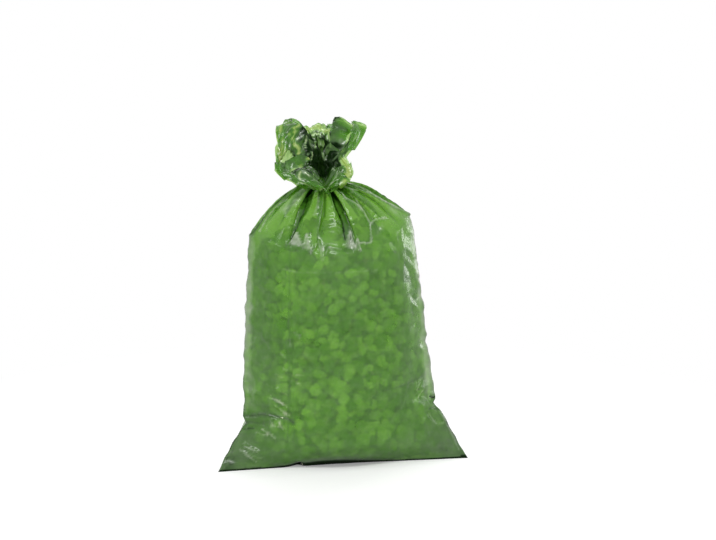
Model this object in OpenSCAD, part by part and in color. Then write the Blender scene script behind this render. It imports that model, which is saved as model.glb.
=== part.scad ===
// A filled and tied refuse sack: one tube of thin film, welded flat across its bottom so that two
// ears stand out at floor level, filled with light chips, and gathered into a neck by a tie. The
// open end of the film flares out above the tie as a ruffled collar.
// Origin: middle of the foot on the floor. +Z up, X along the bottom weld, -Y towards the front.

/* [Foot] */
// Ear to ear, along the weld across the bottom
ear_span = 676; // [620:2:720]
// How far the weld lies in front of the middle, at the ears
weld_forward = 140; // [100:2:150]
// How far the foot reaches in front of the middle, between the ears
foot_front = 128; // [110:2:150]
// How far the foot reaches behind the middle
foot_back = 150; // [110:2:170]
// How high the left ear runs up the side, to the notch above it
left_ear_height = 118; // [90:2:160]
// How high the right ear runs up the side, to the notch above it
right_ear_height = 142; // [90:2:180]
// Rounding between the foot and the front and back walls
foot_round = 70; // [50:2:100]

/* [Body] */
// Crease to crease, where the ears end
belly_width = 540; // [500:2:580]
// Crease to crease, at the shoulders
shoulder_width = 446; // [400:2:480]
// Front to back, low on the body
belly_depth = 390; // [360:2:420]
// Front to back, just under the shoulders
shoulder_depth = 330; // [300:2:350]
// How far the middle of the body stands to the right of the foot's, where the ears end
belly_shift = 9; // [0:1:20]
// How far the middle of the shoulders stands to the right of the foot's
shoulder_shift = -5; // [-20:1:20]
// How far each side crease stands out from the contents
crease_reach = 22; // [12:1:36]
// How much further the right crease bows outwards halfway up
right_bow = 13; // [0:1:20]
// Height of the left shoulder's corner
left_shoulder_height = 606; // [580:2:640]
// Height of the right shoulder's corner
right_shoulder_height = 652; // [620:2:680]
// Height of the front and back shoulder line
front_shoulder_height = 572; // [540:2:600]
// How proud the upright fold line stands on the front, from when the sack was folded flat
fold_line = 2; // [0:0.5:4]
// Depth of the notches above the ears
notch_depth = 10; // [4:0.5:14]
// Depth of the wrinkles beside the notches
wrinkle_depth = 6; // [3:0.5:9]

/* [Neck] */
// Height of the tie above the floor
neck_height = 755; // [730:1:790]
// How far the neck stands to the right of the foot's middle
neck_shift = -30; // [-50:1:20]
// Diameter of the gathered film under the tie
neck_diameter = 46; // [38:1:60]
// Length of the straight gathered waist that the tie holds
neck_length = 10; // [8:1:16]
// How deep the gathers fold into the neck, as a share of its radius
gather_depth = 0.5; // [0.3:0.05:0.6]
// How proud the pleats stand on the slope above the contents
pleat_height = 11; // [4:0.5:13]
// How far the slope between the shoulders and the neck bulges
slope_bulge = 20; // [8:1:26]

/* [Collar] */
// Furthest reach of the collar from the neck's axis
collar_reach = 140; // [120:2:160]
// Rise of the collar's highest tip above the tie
collar_rise = 160; // [130:2:180]
// Drop of the collar's front below the tie
collar_drop = 26; // [14:2:40]
// How far the collar stands up before it turns outwards
collar_lift = 56; // [40:2:80]
// Depth of the ripples round the collar
ripple_depth = 7; // [3:0.5:10]

/* [Film and tie] */
// Wall of the film, drawn thicker than the real film so that it is a solid
film_wall = 0.8; // [0.6:0.1:1.2]
// Width of the tie along the neck
tie_width = 5; // [3:0.5:7]
// Thickness of the tie
tie_thickness = 1.6; // [1.2:0.1:2.4]
// Length of each of the tie's two twisted tails
tie_tail = 26; // [16:1:40]

/* [Contents] */
// Length of the chips that fill the sack
chip_length = 25; // [20:1:32]
// From middle to middle of the chips that stand out furthest, as a multiple of their length
chip_spacing = 2; // [1.9:0.1:2.6]
// Depth of the gaps between those chips
chip_gap_depth = 16; // [8:1:20]
// How unevenly the outermost chips lie
chip_relief = 6; // [3:0.5:9]
// How high the top of the heap lies, as a share of the way from the front shoulder up to the tie
heap_fill = 0.4; // [0.25:0.01:0.45]
// Free space between the film and the outermost chips
heap_gap = 2.5; // [2:0.5:6]

/* [Clearances] */
// Free space between the film and what it touches
touch_gap = 0.3; // [0.2:0.05:0.5]

/* [Hidden] */

// Around the sack: pleats, and columns of points to each pleat
pleats = 16;
columns_per_pleat = 6;
columns = pleats * columns_per_pleat;
half_columns = columns / 2;

neck_radius = neck_diameter / 2;
mean_shoulder_height = (left_shoulder_height + right_shoulder_height) / 2;
ear_extra = (ear_span - belly_width) / 2;
// Share of the ears that the contents push into, and how high they do
ear_fill = 0.35;
ear_fill_height = 150;
// Height from which the side creases run forward to the weld
crease_turn_height = 300;
// How far the weld is set back in its middle from the line between the ears
weld_bow = weld_forward - foot_front + 22;

// Rows up the film: shares of the shoulder height, then shares of the slope, then of the collar
wall_rows = [0, 0.015, 0.045, 0.09, 0.14, 0.185, 0.21, 0.25, 0.32, 0.45, 0.62, 0.8, 0.93, 1];
slope_rows = [0.08, 0.2, 0.36, 0.54, 0.72, 0.88];
collar_rows = [0.14, 0.3, 0.46, 0.62, 0.8, 1];

// The collar's edge: azimuth from the right-hand side, reach as a share of collar_reach, and
// height as a share of collar_rise above the tie or, where negative, of collar_drop below it
collar_edge = [
    [0, 0.49, 0.33], [10, 0.71, 0.53], [18, 0.97, 0.8], [36, 0.78, 0.93], [50, 0.66, 1],
    [65, 0.6, 0.82], [89, 0.57, 0.9], [120, 0.59, 0.78], [139, 0.66, 0.92], [153, 0.73, 0.92],
    [170, 0.87, 0.73], [180, 0.84, 0.54], [191, 0.93, 0.32], [202, 1, 0.15], [214, 0.95, 0.05],
    [229, 0.85, -0.4], [251, 0.71, -0.8], [285, 0.62, -1], [318, 0.61, -0.3], [339, 0.6, 0.06]
];

// Dents in the film: azimuth, height, half width in degrees, half height, depth. The first two are
// the notches above the ears; the rest are the wrinkles beside them and slack places at the sides
dents = [
    [180, left_ear_height - 6, 7, 9, notch_depth],
    [0, right_ear_height - 6, 7, 9, notch_depth],
    [203, left_ear_height + 32, 22, 11, wrinkle_depth],
    [196, left_ear_height - 6, 17, 10, wrinkle_depth],
    [236, 0, 5, 22, wrinkle_depth],
    [342, right_ear_height + 24, 14, 10, wrinkle_depth * 0.8],
    [345, right_ear_height - 30, 9, 12, wrinkle_depth * 0.8],
    [352, right_shoulder_height * 0.46, 7, 24, wrinkle_depth * 0.7],
    [187, left_shoulder_height * 0.54, 7, 26, wrinkle_depth * 0.7]
];
// Column that the upright fold line follows, and the height at which the line starts
fold_column = round(236 / 360 * columns);
fold_start = 90;

function mix(a, b, t) = a + (b - a) * t;
function fade(x) = max(0, x);
function wave(i) = cos(360 * i / columns_per_pleat);

// How strongly each pleat folds, the same every time
pleat_strength = rands(0.55, 1.2, pleats, 7);
function strength(i) = pleat_strength[floor((i + columns_per_pleat / 2) / columns_per_pleat) % pleats];

function azimuth(i) = 360 * i / columns;

// Height of the shoulder line in a column: highest at the two side creases
function shoulder_height(i) =
    let (c = cos(azimuth(i)), corner = c > 0 ? right_shoulder_height : left_shoulder_height)
    mix(front_shoulder_height, corner, pow(abs(c), 3));

function rise(z) = z / mean_shoulder_height;
function middle(z) = mix(belly_shift, shoulder_shift, rise(z));
function half_width(z) = mix(belly_width, shoulder_width, rise(z)) / 2;

// A side crease at height z: the right one for side = 1, the left one for side = -1
function crease(side, z) =
    let (
        ear_height = side > 0 ? right_ear_height : left_ear_height,
        ear = ear_extra * pow(fade(1 - z / ear_height), 1.05),
        bow = side > 0 ? right_bow * sin(180 * min(rise(z), 1)) : 0
    )
    [
        middle(z) + side * (half_width(z) + ear + bow),
        -weld_forward * pow(fade(1 - z / crease_turn_height), 1.2)
    ];

// The contents at height z: an oval whose front and back halves differ in depth near the foot
function contents_half(z) =
    half_width(z) - crease_reach + ear_fill * ear_extra * pow(fade(1 - z / ear_fill_height), 1.2);
function contents_depth(front, z) =
    let (
        under = pow(fade(1 - z / foot_round), 2),
        tuck = belly_depth / 2 - (front ? foot_front : foot_back)
    )
    mix(belly_depth, shoulder_depth, rise(z)) / 2 - tuck * under;

// One ring of the body: the contents' oval, and straight film from it to each crease
function ring_point(i, z) =
    let (
        a = azimuth(i),
        side = cos(a) >= 0 ? 1 : -1,
        front = sin(a) < 0,
        half = contents_half(z),
        depth = contents_depth(front, z),
        turn = front ? -1 : 1,
        edge = crease(side, z),
        x = (edge[0] - middle(z)) * side / half,
        y = edge[1] / depth * turn,
        touch = min(atan2(y, x) + acos(1 / norm([x, y])), 84),
        from_crease = acos(abs(cos(a))),
        s = min(from_crease / touch, 1),
        p = from_crease >= touch
            ? [cos(from_crease), sin(from_crease)]
            : [mix(x, cos(touch), s), mix(y, sin(touch), s)]
    )
    [middle(z) + side * half * p[0], turn * depth * p[1]];

// How far the film is pulled in by the dents, and pushed out along the fold line
function angle_between(a, b) = abs((a - b + 540) % 360 - 180);
function pull(a, z) = [
    for (d = dents)
    d[4] * exp(-pow(angle_between(a, d[0]) / d[2], 2) - pow((z - d[1]) / d[3], 2))
] * [for (d = dents) 1];

// The front and back walls lean in a little under the shoulder line
function lean(h) = 1 - 0.05 * pow(fade(h - 0.8) / 0.2, 2);

function wall_point(i, h) =
    let (
        z = h * shoulder_height(i),
        p = ring_point(i, z),
        fold = i == fold_column ? fold_line * min(z / fold_start, 1) : 0,
        k = 1 - (pull(azimuth(i), z) - fold) / norm(p)
    )
    [p[0] * k, p[1] * k * lean(h), z];

function neck_ring_radius(i) = neck_radius * (1 - gather_depth * (1 - wave(i)) / 2);
function neck_point(i, z) =
    let (a = azimuth(i), r = neck_ring_radius(i))
    [neck_shift + r * cos(a), r * sin(a), z];

// The slope from the shoulder line up to the neck, with pleats that grow towards the neck
function slope_point(i, s) =
    let (
        low = wall_point(i, 1),
        high = neck_point(i, neck_height - neck_length / 2),
        run = [low[0] - high[0], low[1] - high[1], 0],
        normal = (run / norm(run) + [0, 0, 1.2]) / norm([1, 1.2]),
        pleat = pleat_height * strength(i) * wave(i) * 2.1 * s * pow(1 - s, 0.6)
    )
    low * (1 - s) + high * s + normal * (slope_bulge * sin(180 * pow(s, 1.15)) + pleat);

// Smooth curve through four values
function through(a, b, c, d, t) =
    0.5 * (2 * b + (c - a) * t + (2 * a - 5 * b + 4 * c - d) * t * t
           + (3 * b - a - 3 * c + d) * t * t * t);

function edge_at(k) =
    let (n = len(collar_edge), e = collar_edge[(k + n) % n])
    [e[0] + 360 * floor(k / n), e[1] * collar_reach, e[2] * (e[2] > 0 ? collar_rise : collar_drop)];
function edge_span(a) =
    max([for (k = [-1 : len(collar_edge) - 1]) if (edge_at(k)[0] <= a) k]);
function edge_curve(i) =
    let (
        a = azimuth(i),
        k = edge_span(a),
        t = (a - edge_at(k)[0]) / (edge_at(k + 1)[0] - edge_at(k)[0]),
        e = through(edge_at(k - 1), edge_at(k), edge_at(k + 1), edge_at(k + 2), t),
        reach = e[1] + ripple_depth * wave(i) * (strength(i) - 0.4)
    )
    [neck_shift + reach * cos(a), reach * sin(a), neck_height + e[2]];

// The collar: each column leaves the neck upwards, arches over and ends on the edge. Its ripples
// stand out square to that arch
function collar_point(i, t) =
    let (
        low = neck_point(i, neck_height + neck_length / 2),
        edge = edge_curve(i),
        out = [cos(azimuth(i)), sin(azimuth(i)), 0],
        first = low + [0, 0, collar_lift * 0.6] + out * 5,
        over = [edge[0], edge[1], max(edge[2] - 20, neck_height) + collar_lift / 2] - out * 34,
        u = 1 - t,
        p = u * u * u * low + 3 * u * u * t * first + 3 * u * t * t * over + t * t * t * edge,
        d = 3 * u * u * (first - low) + 6 * u * t * (over - first) + 3 * t * t * (edge - over),
        run = d * out,
        square = (out * -d[2] + [0, 0, run]) / norm([run, d[2]])
    )
    p + square * ripple_depth * wave(i) * strength(i) * sin(150 * t);

// All rows of the film's outer face. The first three lie on the floor: the weld, a row halfway,
// and the outline of the foot
function weld_point(i) =
    let (p = wall_point(i <= half_columns ? i : columns - i, 0), u = abs(p[0]) / (ear_span / 2))
    [p[0], -weld_forward + weld_bow * (1 - min(u, 1)), 0];
outer_rows = concat(
    [[for (i = [0 : columns - 1]) weld_point(i)]],
    [[for (i = [0 : columns - 1]) (weld_point(i) + wall_point(i, 0)) / 2]],
    [for (h = wall_rows) [for (i = [0 : columns - 1]) wall_point(i, h)]],
    [for (s = slope_rows) [for (i = [0 : columns - 1]) slope_point(i, s)]],
    [for (z = [-0.5, 0.5]) [for (i = [0 : columns - 1]) neck_point(i, neck_height + z * neck_length)]],
    [for (t = collar_rows) [for (i = [0 : columns - 1]) collar_point(i, t)]]
);
rows = len(outer_rows);
foot_rows = 3;

// Outward direction of the film at a point of the grid
function direction(j, i) =
    let (
        along = outer_rows[j][(i + 1) % columns] - outer_rows[j][(i + columns - 1) % columns],
        up = outer_rows[min(j + 1, rows - 1)][i] - outer_rows[j - 1][i],
        n = cross(along, up)
    )
    n / norm(n);

// The inner face lies one wall inside the outer one. On the foot it is lifted off the floor, and its
// outline is drawn in so that it stays inside the ears
function inner_point(j, i) =
    let (p = outer_rows[j][i], lift = [0, 0, film_wall])
    j >= foot_rows ? p - film_wall * direction(j, i)
    : j < foot_rows - 1 ? p + lift
    : p - 3 * film_wall * p / norm(p) + lift;

inner_rows = [for (j = [0 : rows - 1]) [for (i = [0 : columns - 1]) inner_point(j, i)]];

// Index of a grid point. The two halves of the weld are the same line, so they share points, and so
// do the foot's three rows at the tip of each ear
function weld(j, i) =
    let (c = (i + columns) % columns, k = j == 0 && c > half_columns ? columns - c : c)
    (j < foot_rows && k % half_columns == 0 ? foot_rows - 1 : j) * columns + k;

function skin_faces(shift, flip) = [
    for (j = [0 : rows - 2], i = [0 : columns - 1])
    let (
        a = weld(j, i) + shift,
        b = weld(j, i + 1) + shift,
        c = weld(j + 1, i + 1) + shift,
        d = weld(j + 1, i) + shift
    )
    each [for (f = [[a, c, b], [a, d, c]]) if (f[0] != f[1] && f[1] != f[2] && f[0] != f[2])
          flip ? [f[0], f[2], f[1]] : f]
];

// The film: outer face, inner face, and the thin edge between them round the collar
module bag_film() {
    count = rows * columns;
    last = (rows - 1) * columns;
    edge_faces = [
        for (i = [0 : columns - 1])
        let (k = (i + 1) % columns)
        each [
            [last + i, last + count + k, last + k],
            [last + i, last + count + i, last + count + k]
        ]
    ];
    color([0.36, 0.58, 0.26])
        polyhedron(
            points = concat([for (r = outer_rows) each r], [for (r = inner_rows) each r]),
            faces = concat(skin_faces(0, false), skin_faces(count, true), edge_faces),
            convexity = 12
        );
}

// The heap of chips follows the inside of the film. The chips that stand out lie in staggered rows,
// up the wall and then over the dome, and each has a gap before it and a gap below it
heap_floor = film_wall + touch_gap;
heap_wall_height = 0.94 * front_shoulder_height;
heap_height = mix(front_shoulder_height, neck_height, heap_fill);
chip_pitch = chip_spacing * chip_length;
heap_dome_length = norm([shoulder_width / 2, heap_height - heap_wall_height]);
heap_wall_chips = round(heap_wall_height / chip_pitch);
heap_dome_chips = round(heap_dome_length / chip_pitch);
heap_chips_around = 4 * round(PI * (belly_width + belly_depth) / 8 / chip_pitch);
heap_columns = 3 * heap_chips_around;
heap_rows = 3 * (heap_wall_chips + heap_dome_chips);
// How much further in the chips lie at the foot, where the film turns under
heap_foot_inset = 5;
// A chip's flat face, and how far chance moves it and turns it, as shares of the pitch
chip_face = 1 / chip_spacing;
chip_play = 0.06;
chip_turn = 0.25;
chance = rands(-1, 1, 6 * heap_chips_around * (heap_wall_chips + heap_dome_chips), 23);

// How many chips' places one chip takes, because the rows get shorter towards the crown
function chip_places(row) =
    let (round_share = cos(90 * fade(row + 0.5 - heap_wall_chips) / heap_dome_chips))
    round_share > 0.62 ? 1 : round_share > 0.32 ? 2 : heap_chips_around / 4;
function stagger(row) = row % 2 / 2;

// The rows aren't level: they drift up and down round the heap, least at the floor and the crown
function drift(a, h) =
    (0.3 * sin(3 * a) + 0.3 * sin(5 * a + 70)) * sin(180 * h / (heap_wall_chips + heap_dome_chips));

// The heap's surface at azimuth a, h rows of chips up, a given depth below the outermost chips
function heap_surface(a, h, depth) =
    let (
        level = h + drift(a, h),
        z = max(heap_floor, heap_wall_height * min(level / heap_wall_chips, 1)),
        over = 90 * fade(level - heap_wall_chips) / heap_dome_chips,
        foot_inset = heap_foot_inset * fade(1 - z / (1.5 * foot_round)),
        inset = film_wall + heap_gap + depth + foot_inset + pull(a, z),
        x = middle(z) + (contents_half(z) - inset) * cos(a),
        y = (contents_depth(sin(a) < 0, z) * lean(z / front_shoulder_height) - inset) * sin(a)
    )
    [x * cos(over), y * cos(over), mix(z, heap_height, sin(over)) - depth * sin(over)];

// Every third row and column of points runs in the gaps; the two between them carry the chips'
// faces, each turned, tilted and moved by chance
function heap_point(r, k) =
    let (
        row = floor(r / 3),
        places = chip_places(row),
        first_place = floor(k / (3 * places)) * places,
        chip = 6 * (row * heap_chips_around + first_place),
        up = r % 3,
        across = k % (3 * places),
        on_face = up > 0 && across > 0,
        v = up == 0 ? -0.5 : chip_face * (up - 1.5),
        u = places > 1 ? across / (3 * places) - 0.5 : across == 0 ? -0.5 : chip_face * (across - 1.5),
        turn = on_face ? chip_turn * chance[chip] : 0,
        tilt = 2 * (u * chance[chip + 1] + v * chance[chip + 2]) / chip_face,
        depth = r == 0 ? chip_relief / 3
            : on_face ? chip_relief * (1 + chance[chip + 3] + 0.4 * tilt) / 2
            : chip_gap_depth + chip_relief * chance[chip + 3] / 4,
        shift = up > 0 ? stagger(row) : (stagger(row) + stagger(max(row - 1, 0))) / 2,
        side = first_place + places * (0.5 + u + turn * v) + shift + chip_play * chance[chip + 4],
        high = row + 0.5 + v - turn * u + (r == 0 ? 0 : chip_play * chance[chip + 5])
    )
    heap_surface(360 * side / heap_chips_around, high, max(depth, 0));

module chip_fill() {
    last = heap_rows - 1;
    bottom = heap_rows * heap_columns;
    top = bottom + 1;
    sides = [
        for (r = [0 : last - 1], c = [0 : heap_columns - 1])
        let (
            k = (c + 1) % heap_columns,
            a = r * heap_columns + c,
            b = r * heap_columns + k,
            d = a + heap_columns,
            e = b + heap_columns
        )
        each [[a, e, b], [a, d, e]]
    ];
    ends = [
        for (c = [0 : heap_columns - 1])
        let (k = (c + 1) % heap_columns)
        each [[bottom, c, k], [top, last * heap_columns + k, last * heap_columns + c]]
    ];
    color([0.62, 0.74, 0.42])
        polyhedron(
            points = concat(
                [for (r = [0 : heap_rows - 1], k = [0 : heap_columns - 1]) heap_point(r, k)],
                [[0, 0, heap_floor], [0, 0, heap_height - chip_relief / 2]]
            ),
            faces = concat(sides, ends),
            convexity = 6
        );
}

// The tie: a flat band round the gathered neck, with its two ends twisted together at the back
module neck_tie() {
    inner = neck_radius + touch_gap;
    color([0.2, 0.36, 0.16])
        translate([neck_shift, 0, neck_height]) {
            translate([0, 0, -tie_width / 2])
                rotate_extrude($fn = 64)
                    translate([inner, 0])
                        square([tie_thickness, tie_width]);
            for (side = [-1, 1])
                translate([0, inner + tie_thickness / 2, 0])
                    rotate([-90, 0, side * 18])
                        cylinder(h = tie_tail, r = tie_thickness * 0.75, $fn = 24);
        }
}

bag_film();
chip_fill();
neck_tie();
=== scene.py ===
from types import SimpleNamespace

import bmesh
import bpy
import numpy as np
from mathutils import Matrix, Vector, noise
from mathutils.bvhtree import BVHTree


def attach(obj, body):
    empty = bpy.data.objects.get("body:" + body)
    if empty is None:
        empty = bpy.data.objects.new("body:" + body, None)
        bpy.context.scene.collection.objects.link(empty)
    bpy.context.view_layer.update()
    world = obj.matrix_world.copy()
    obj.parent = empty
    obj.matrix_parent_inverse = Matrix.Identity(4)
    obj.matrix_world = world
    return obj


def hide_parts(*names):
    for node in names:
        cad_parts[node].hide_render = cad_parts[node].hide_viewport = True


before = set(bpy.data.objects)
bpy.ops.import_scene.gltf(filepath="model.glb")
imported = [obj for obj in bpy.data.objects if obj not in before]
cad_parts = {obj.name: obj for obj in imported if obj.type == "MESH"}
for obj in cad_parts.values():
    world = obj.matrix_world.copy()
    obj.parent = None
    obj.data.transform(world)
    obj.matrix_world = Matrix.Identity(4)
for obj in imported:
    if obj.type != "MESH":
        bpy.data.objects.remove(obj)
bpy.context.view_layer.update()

MM = 0.001

# the sack's sizes, in millimetres

EAR_SPAN, WELD_FORWARD, FOOT_FRONT, FOOT_BACK, FOOT_ROUND = 676, 140, 128, 150, 70
LEFT_EAR, RIGHT_EAR = 118, 142
BELLY_WIDTH, SHOULDER_WIDTH, BELLY_DEPTH, SHOULDER_DEPTH = 540, 446, 390, 330
BELLY_SHIFT, SHOULDER_SHIFT, CREASE_REACH, RIGHT_BOW = 9, -5, 22, 13
LEFT_SHOULDER, RIGHT_SHOULDER, FRONT_SHOULDER = 606, 652, 572
MEAN_SHOULDER = (LEFT_SHOULDER + RIGHT_SHOULDER) / 2
NECK_HEIGHT, NECK_SHIFT, NECK_RADIUS, NECK_LENGTH = 755, -30, 23, 10
SLOPE_BULGE = 20
COLLAR_REACH, COLLAR_RISE, COLLAR_DROP, COLLAR_LIFT, FRONT_LIFT = 140, 160, 26, 56, 2
EAR_EXTRA = (EAR_SPAN - BELLY_WIDTH) / 2
EAR_FILL, EAR_FILL_HEIGHT, CREASE_TURN = 0.35, 150, 300
# How far the middle of the weld lies behind the foot's front edge, and behind the weld's own ends
WELD_TUCK = 22
WELD_BOW = WELD_FORWARD - FOOT_FRONT + WELD_TUCK
# The weld is pulled back in one place, near the left ear: how far, where, and half its width
NOTCH, NOTCH_X, NOTCH_WIDTH = 38, -136, 11
CHIP = 25
# Share of the way from the CAD heap's side to the film that the chips fill, in the ears and at the
# creases above them, and what stays empty next to a crease, in mm
EAR_CHIPS, CREASE_CHIPS, CREASE_GAP = 0.6, 0.9, 15

# The collar's edge: azimuth, how far out as a share of COLLAR_REACH, and how far above the neck as a share
# of COLLAR_RISE, or below it as a share of COLLAR_DROP. Like the folds and marks further down, it comes
# from points picked by eye in the photograph, which a scratch script turned into places on the sack
COLLAR_EDGE = [
    (0, 0.49, 0.33), (10, 0.71, 0.53), (18, 0.97, 0.8), (36, 0.8, 0.88), (50, 0.66, 0.95),
    (65, 0.6, 0.82), (89, 0.57, 0.9), (120, 0.59, 0.78), (139, 0.66, 0.92), (153, 0.73, 0.92),
    (170, 0.87, 0.73), (180, 0.84, 0.54), (191, 0.93, 0.32), (202, 1, 0.15), (214, 0.95, 0.05),
    (229, 0.85, -0.4), (251, 0.71, -0.8), (285, 0.62, -1), (318, 0.61, -0.3), (339, 0.6, 0.06),
]

COLUMNS = 180
FOOT_ROWS, WALL_ROWS, SLOPE_ROWS, COLLAR_ROWS = 5, 66, 29, 24
# The simulation: frames, surplus film as a share of its length, and how firmly the drawn shape holds,
# in the collar and at its edge
SETTLING_FRAMES, SURPLUS, SOFT_HOLD, RIM_HOLD = 16, 0.16, 0.15, 0.6


def cosd(a):
    return np.cos(np.radians(a))


def sind(a):
    return np.sin(np.radians(a))


def fade(x):
    return np.maximum(0, x)


def ramp(x, start, length):
    """0 up to start, and 1 from a length further on. With a length under 0, it is 1 below and 0 above"""
    return np.clip((x - start) / length, 0, 1)


def mix(a, b, t):
    return a + (b - a) * t


def bump(x, centre, width):
    return np.exp(-(((x - centre) / width) ** 2))


def turn(a, b):
    """How far azimuth a lies past azimuth b, from -180 to 180"""
    return (a - b + 540) % 360 - 180


AZIMUTH = np.arange(COLUMNS) * 360.0 / COLUMNS


# smooth noise on points

SEED_STEP, NOISE_DIMENSION, NOISE_STEP = 17.3, 0.7, 2.0


def field(points, size, seed, octaves=2):
    """Smooth noise from about -1 to 1 at points in mm, with lumps of about that size"""
    flat = np.asarray(points, float).reshape(-1, 3) / size + seed * SEED_STEP
    out = [noise.fractal(Vector(p), NOISE_DIMENSION, NOISE_STEP, octaves) for p in flat]
    return np.array(out).reshape(np.shape(points)[:-1])


# the film's form, row by row

# How fast the ears, the forward turn of the creases and the chips in the ears fade out with height
EAR_TAPER, TURN_TAPER, FILL_TAPER = 1.05, 1.2, 1.2
# The straight film at a crease meets the oval at most this far round it, in degrees
WIDEST_TOUCH = 84


def shoulder_height(a):
    """How high the wall reaches at an azimuth: lowest in front and behind, highest at the sides"""
    corner = np.where(cosd(a) > 0, RIGHT_SHOULDER, LEFT_SHOULDER)
    return mix(FRONT_SHOULDER, corner, np.abs(cosd(a)) ** 3)


def middle(z):
    """The x of the sack's middle"""
    return mix(BELLY_SHIFT, SHOULDER_SHIFT, z / MEAN_SHOULDER)


def half_width(z):
    return mix(BELLY_WIDTH, SHOULDER_WIDTH, z / MEAN_SHOULDER) / 2


def crease(side, z):
    """The x and y of a side crease, where side is 1 for the right one and -1 for the left one"""
    height = np.where(side > 0, RIGHT_EAR, LEFT_EAR)
    ear = EAR_EXTRA * fade(1 - z / height) ** EAR_TAPER
    bow = np.where(side > 0, RIGHT_BOW, 0) * sind(180 * np.clip(z / MEAN_SHOULDER, 0, 1))
    forward = WELD_FORWARD * fade(1 - z / CREASE_TURN) ** TURN_TAPER
    return middle(z) + side * (half_width(z) + ear + bow), -forward


def contents_half(z):
    """Half the width of the oval that the contents fill"""
    in_ear = EAR_FILL * EAR_EXTRA * fade(1 - z / EAR_FILL_HEIGHT) ** FILL_TAPER
    return half_width(z) - CREASE_REACH + in_ear


def contents_depth(front, z):
    """Half the oval's depth, to the front or to the back"""
    tuck = BELLY_DEPTH / 2 - np.where(front, FOOT_FRONT, FOOT_BACK)
    return mix(BELLY_DEPTH, SHOULDER_DEPTH, z / MEAN_SHOULDER) / 2 - tuck * fade(1 - z / FOOT_ROUND) ** 2


def ring(a, z):
    """One ring of the body: an oval round the contents, and straight film from it to each crease. The last
    result is 1 on the oval, and on the straight film the share of the way to it"""
    side = np.where(cosd(a) >= 0, 1.0, -1.0)
    front = sind(a) < 0
    face = np.where(front, -1.0, 1.0)
    half, depth = contents_half(z), contents_depth(front, z)
    cx, cy = crease(side, z)
    x, y = (cx - middle(z)) * side / half, cy / depth * face
    tangent = np.degrees(np.arctan2(y, x) + np.arccos(1 / np.hypot(x, y)))
    touch = np.minimum(tangent, WIDEST_TOUCH)
    across = np.degrees(np.arccos(np.clip(np.abs(cosd(a)), 0, 1)))
    s = np.clip(across / touch, 0, 1)
    on = across >= touch
    px = np.where(on, cosd(across), mix(x, cosd(touch), s))
    py = np.where(on, sind(across), mix(y, sind(touch), s))
    return middle(z) + side * half * px, face * depth * py, np.where(on, 1.0, s)


# Dents in the wall: azimuth, height, half width in degrees, half height and depth in mm
DENTS = [
    (180, LEFT_EAR - 6, 7, 9, 10), (0, RIGHT_EAR - 6, 7, 9, 10), (203, LEFT_EAR + 32, 22, 11, 6),
    (196, LEFT_EAR - 6, 17, 10, 6), (235, 0, 4, 13, 32), (342, RIGHT_EAR + 24, 14, 10, 4.8),
    (345, RIGHT_EAR - 30, 9, 12, 4.8), (352, RIGHT_SHOULDER * 0.46, 7, 24, 4.2),
    (187, LEFT_SHOULDER * 0.54, 7, 26, 4.2),
]


# The long fold at the left of the front: its azimuth, how far it stands out, half its width in degrees, and
# the height up to which it grows
LONG_FOLD, LONG_FOLD_OUT, LONG_FOLD_WIDTH, LONG_FOLD_GROWS = 236, 2, 1.2, 90
# How far the wall leans in at its top, from which share of its height and over which share
LEAN, LEAN_FROM, LEAN_OVER = 0.05, 0.8, 0.2


def wall(a, h):
    """A row of the wall at azimuths a and a share h of its height, and how far it lies on the contents"""
    z = h * shoulder_height(a)
    x, y, s = ring(a, z)
    pull = sum(deep * bump(turn(a, at), 0, wide) * bump(z, height, tall)
               for at, height, wide, tall, deep in DENTS)
    out = LONG_FOLD_OUT * bump(turn(a, LONG_FOLD), 0, LONG_FOLD_WIDTH) * ramp(z, 0, LONG_FOLD_GROWS)
    k = 1 - (pull - out) / np.hypot(x, y)
    lean = 1 - LEAN * (fade(h - LEAN_FROM) / LEAN_OVER) ** 2
    return np.stack([x * k, y * k * lean, z * np.ones_like(a)], -1), s


# The neck's mean radius and how far its folds go in and out, as shares of NECK_RADIUS
NECK_MEAN, NECK_FOLDS = 0.72, 0.26
# How steeply the slope bulges out, and how far up the bulge sits
BULGE_UP, BULGE_SKEW = 1.2, 1.15


def neck(a, fold, z):
    """A row of the tied neck. fold says how deep the gathers are there, from -1 to 1"""
    r = NECK_RADIUS * (NECK_MEAN + NECK_FOLDS * np.clip(fold, -1.3, 1.05))
    return np.stack([NECK_SHIFT + r * cosd(a), r * sind(a), z * np.ones_like(a)], -1)


def slope(a, s, fold):
    """A row of the slope at azimuths a, and its outward direction"""
    low, _ = wall(a, np.ones_like(a))
    high = neck(a, fold, NECK_HEIGHT - NECK_LENGTH / 2)
    run = low - high
    run[:, 2] = 0
    normal = run / np.linalg.norm(run, axis=1, keepdims=True) + np.array([0, 0, BULGE_UP])
    normal /= np.hypot(1, BULGE_UP)
    return low * (1 - s) + high * s + normal * SLOPE_BULGE * sind(180 * s ** BULGE_SKEW), normal


def collar_edge(a):
    """The collar's edge at azimuths a"""
    at = np.array([(azimuth, out * COLLAR_REACH, up * (COLLAR_RISE if up > 0 else COLLAR_DROP))
                   for azimuth, out, up in COLLAR_EDGE])
    ring_of = np.concatenate([at[-2:] - [360, 0, 0], at, at[:3] + [360, 0, 0]])
    reach, height = (np.interp(a, ring_of[:, 0], ring_of[:, k]) for k in (1, 2))
    return np.stack([NECK_SHIFT + reach * cosd(a), reach * sind(a), NECK_HEIGHT + height], -1)


# The collar's low front: its azimuth and half its width. How the collar leaves the neck, outward in mm and
# upward as a share of its lift, and where it turns towards the edge, inward and downward from there in mm
FRONT_AZIMUTH, FRONT_WIDTH = 272, 32
LEAVES_OUT, LEAVES_UP, TURNS_INSIDE, TURNS_BELOW = 5, 0.6, 34, 20


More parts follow.
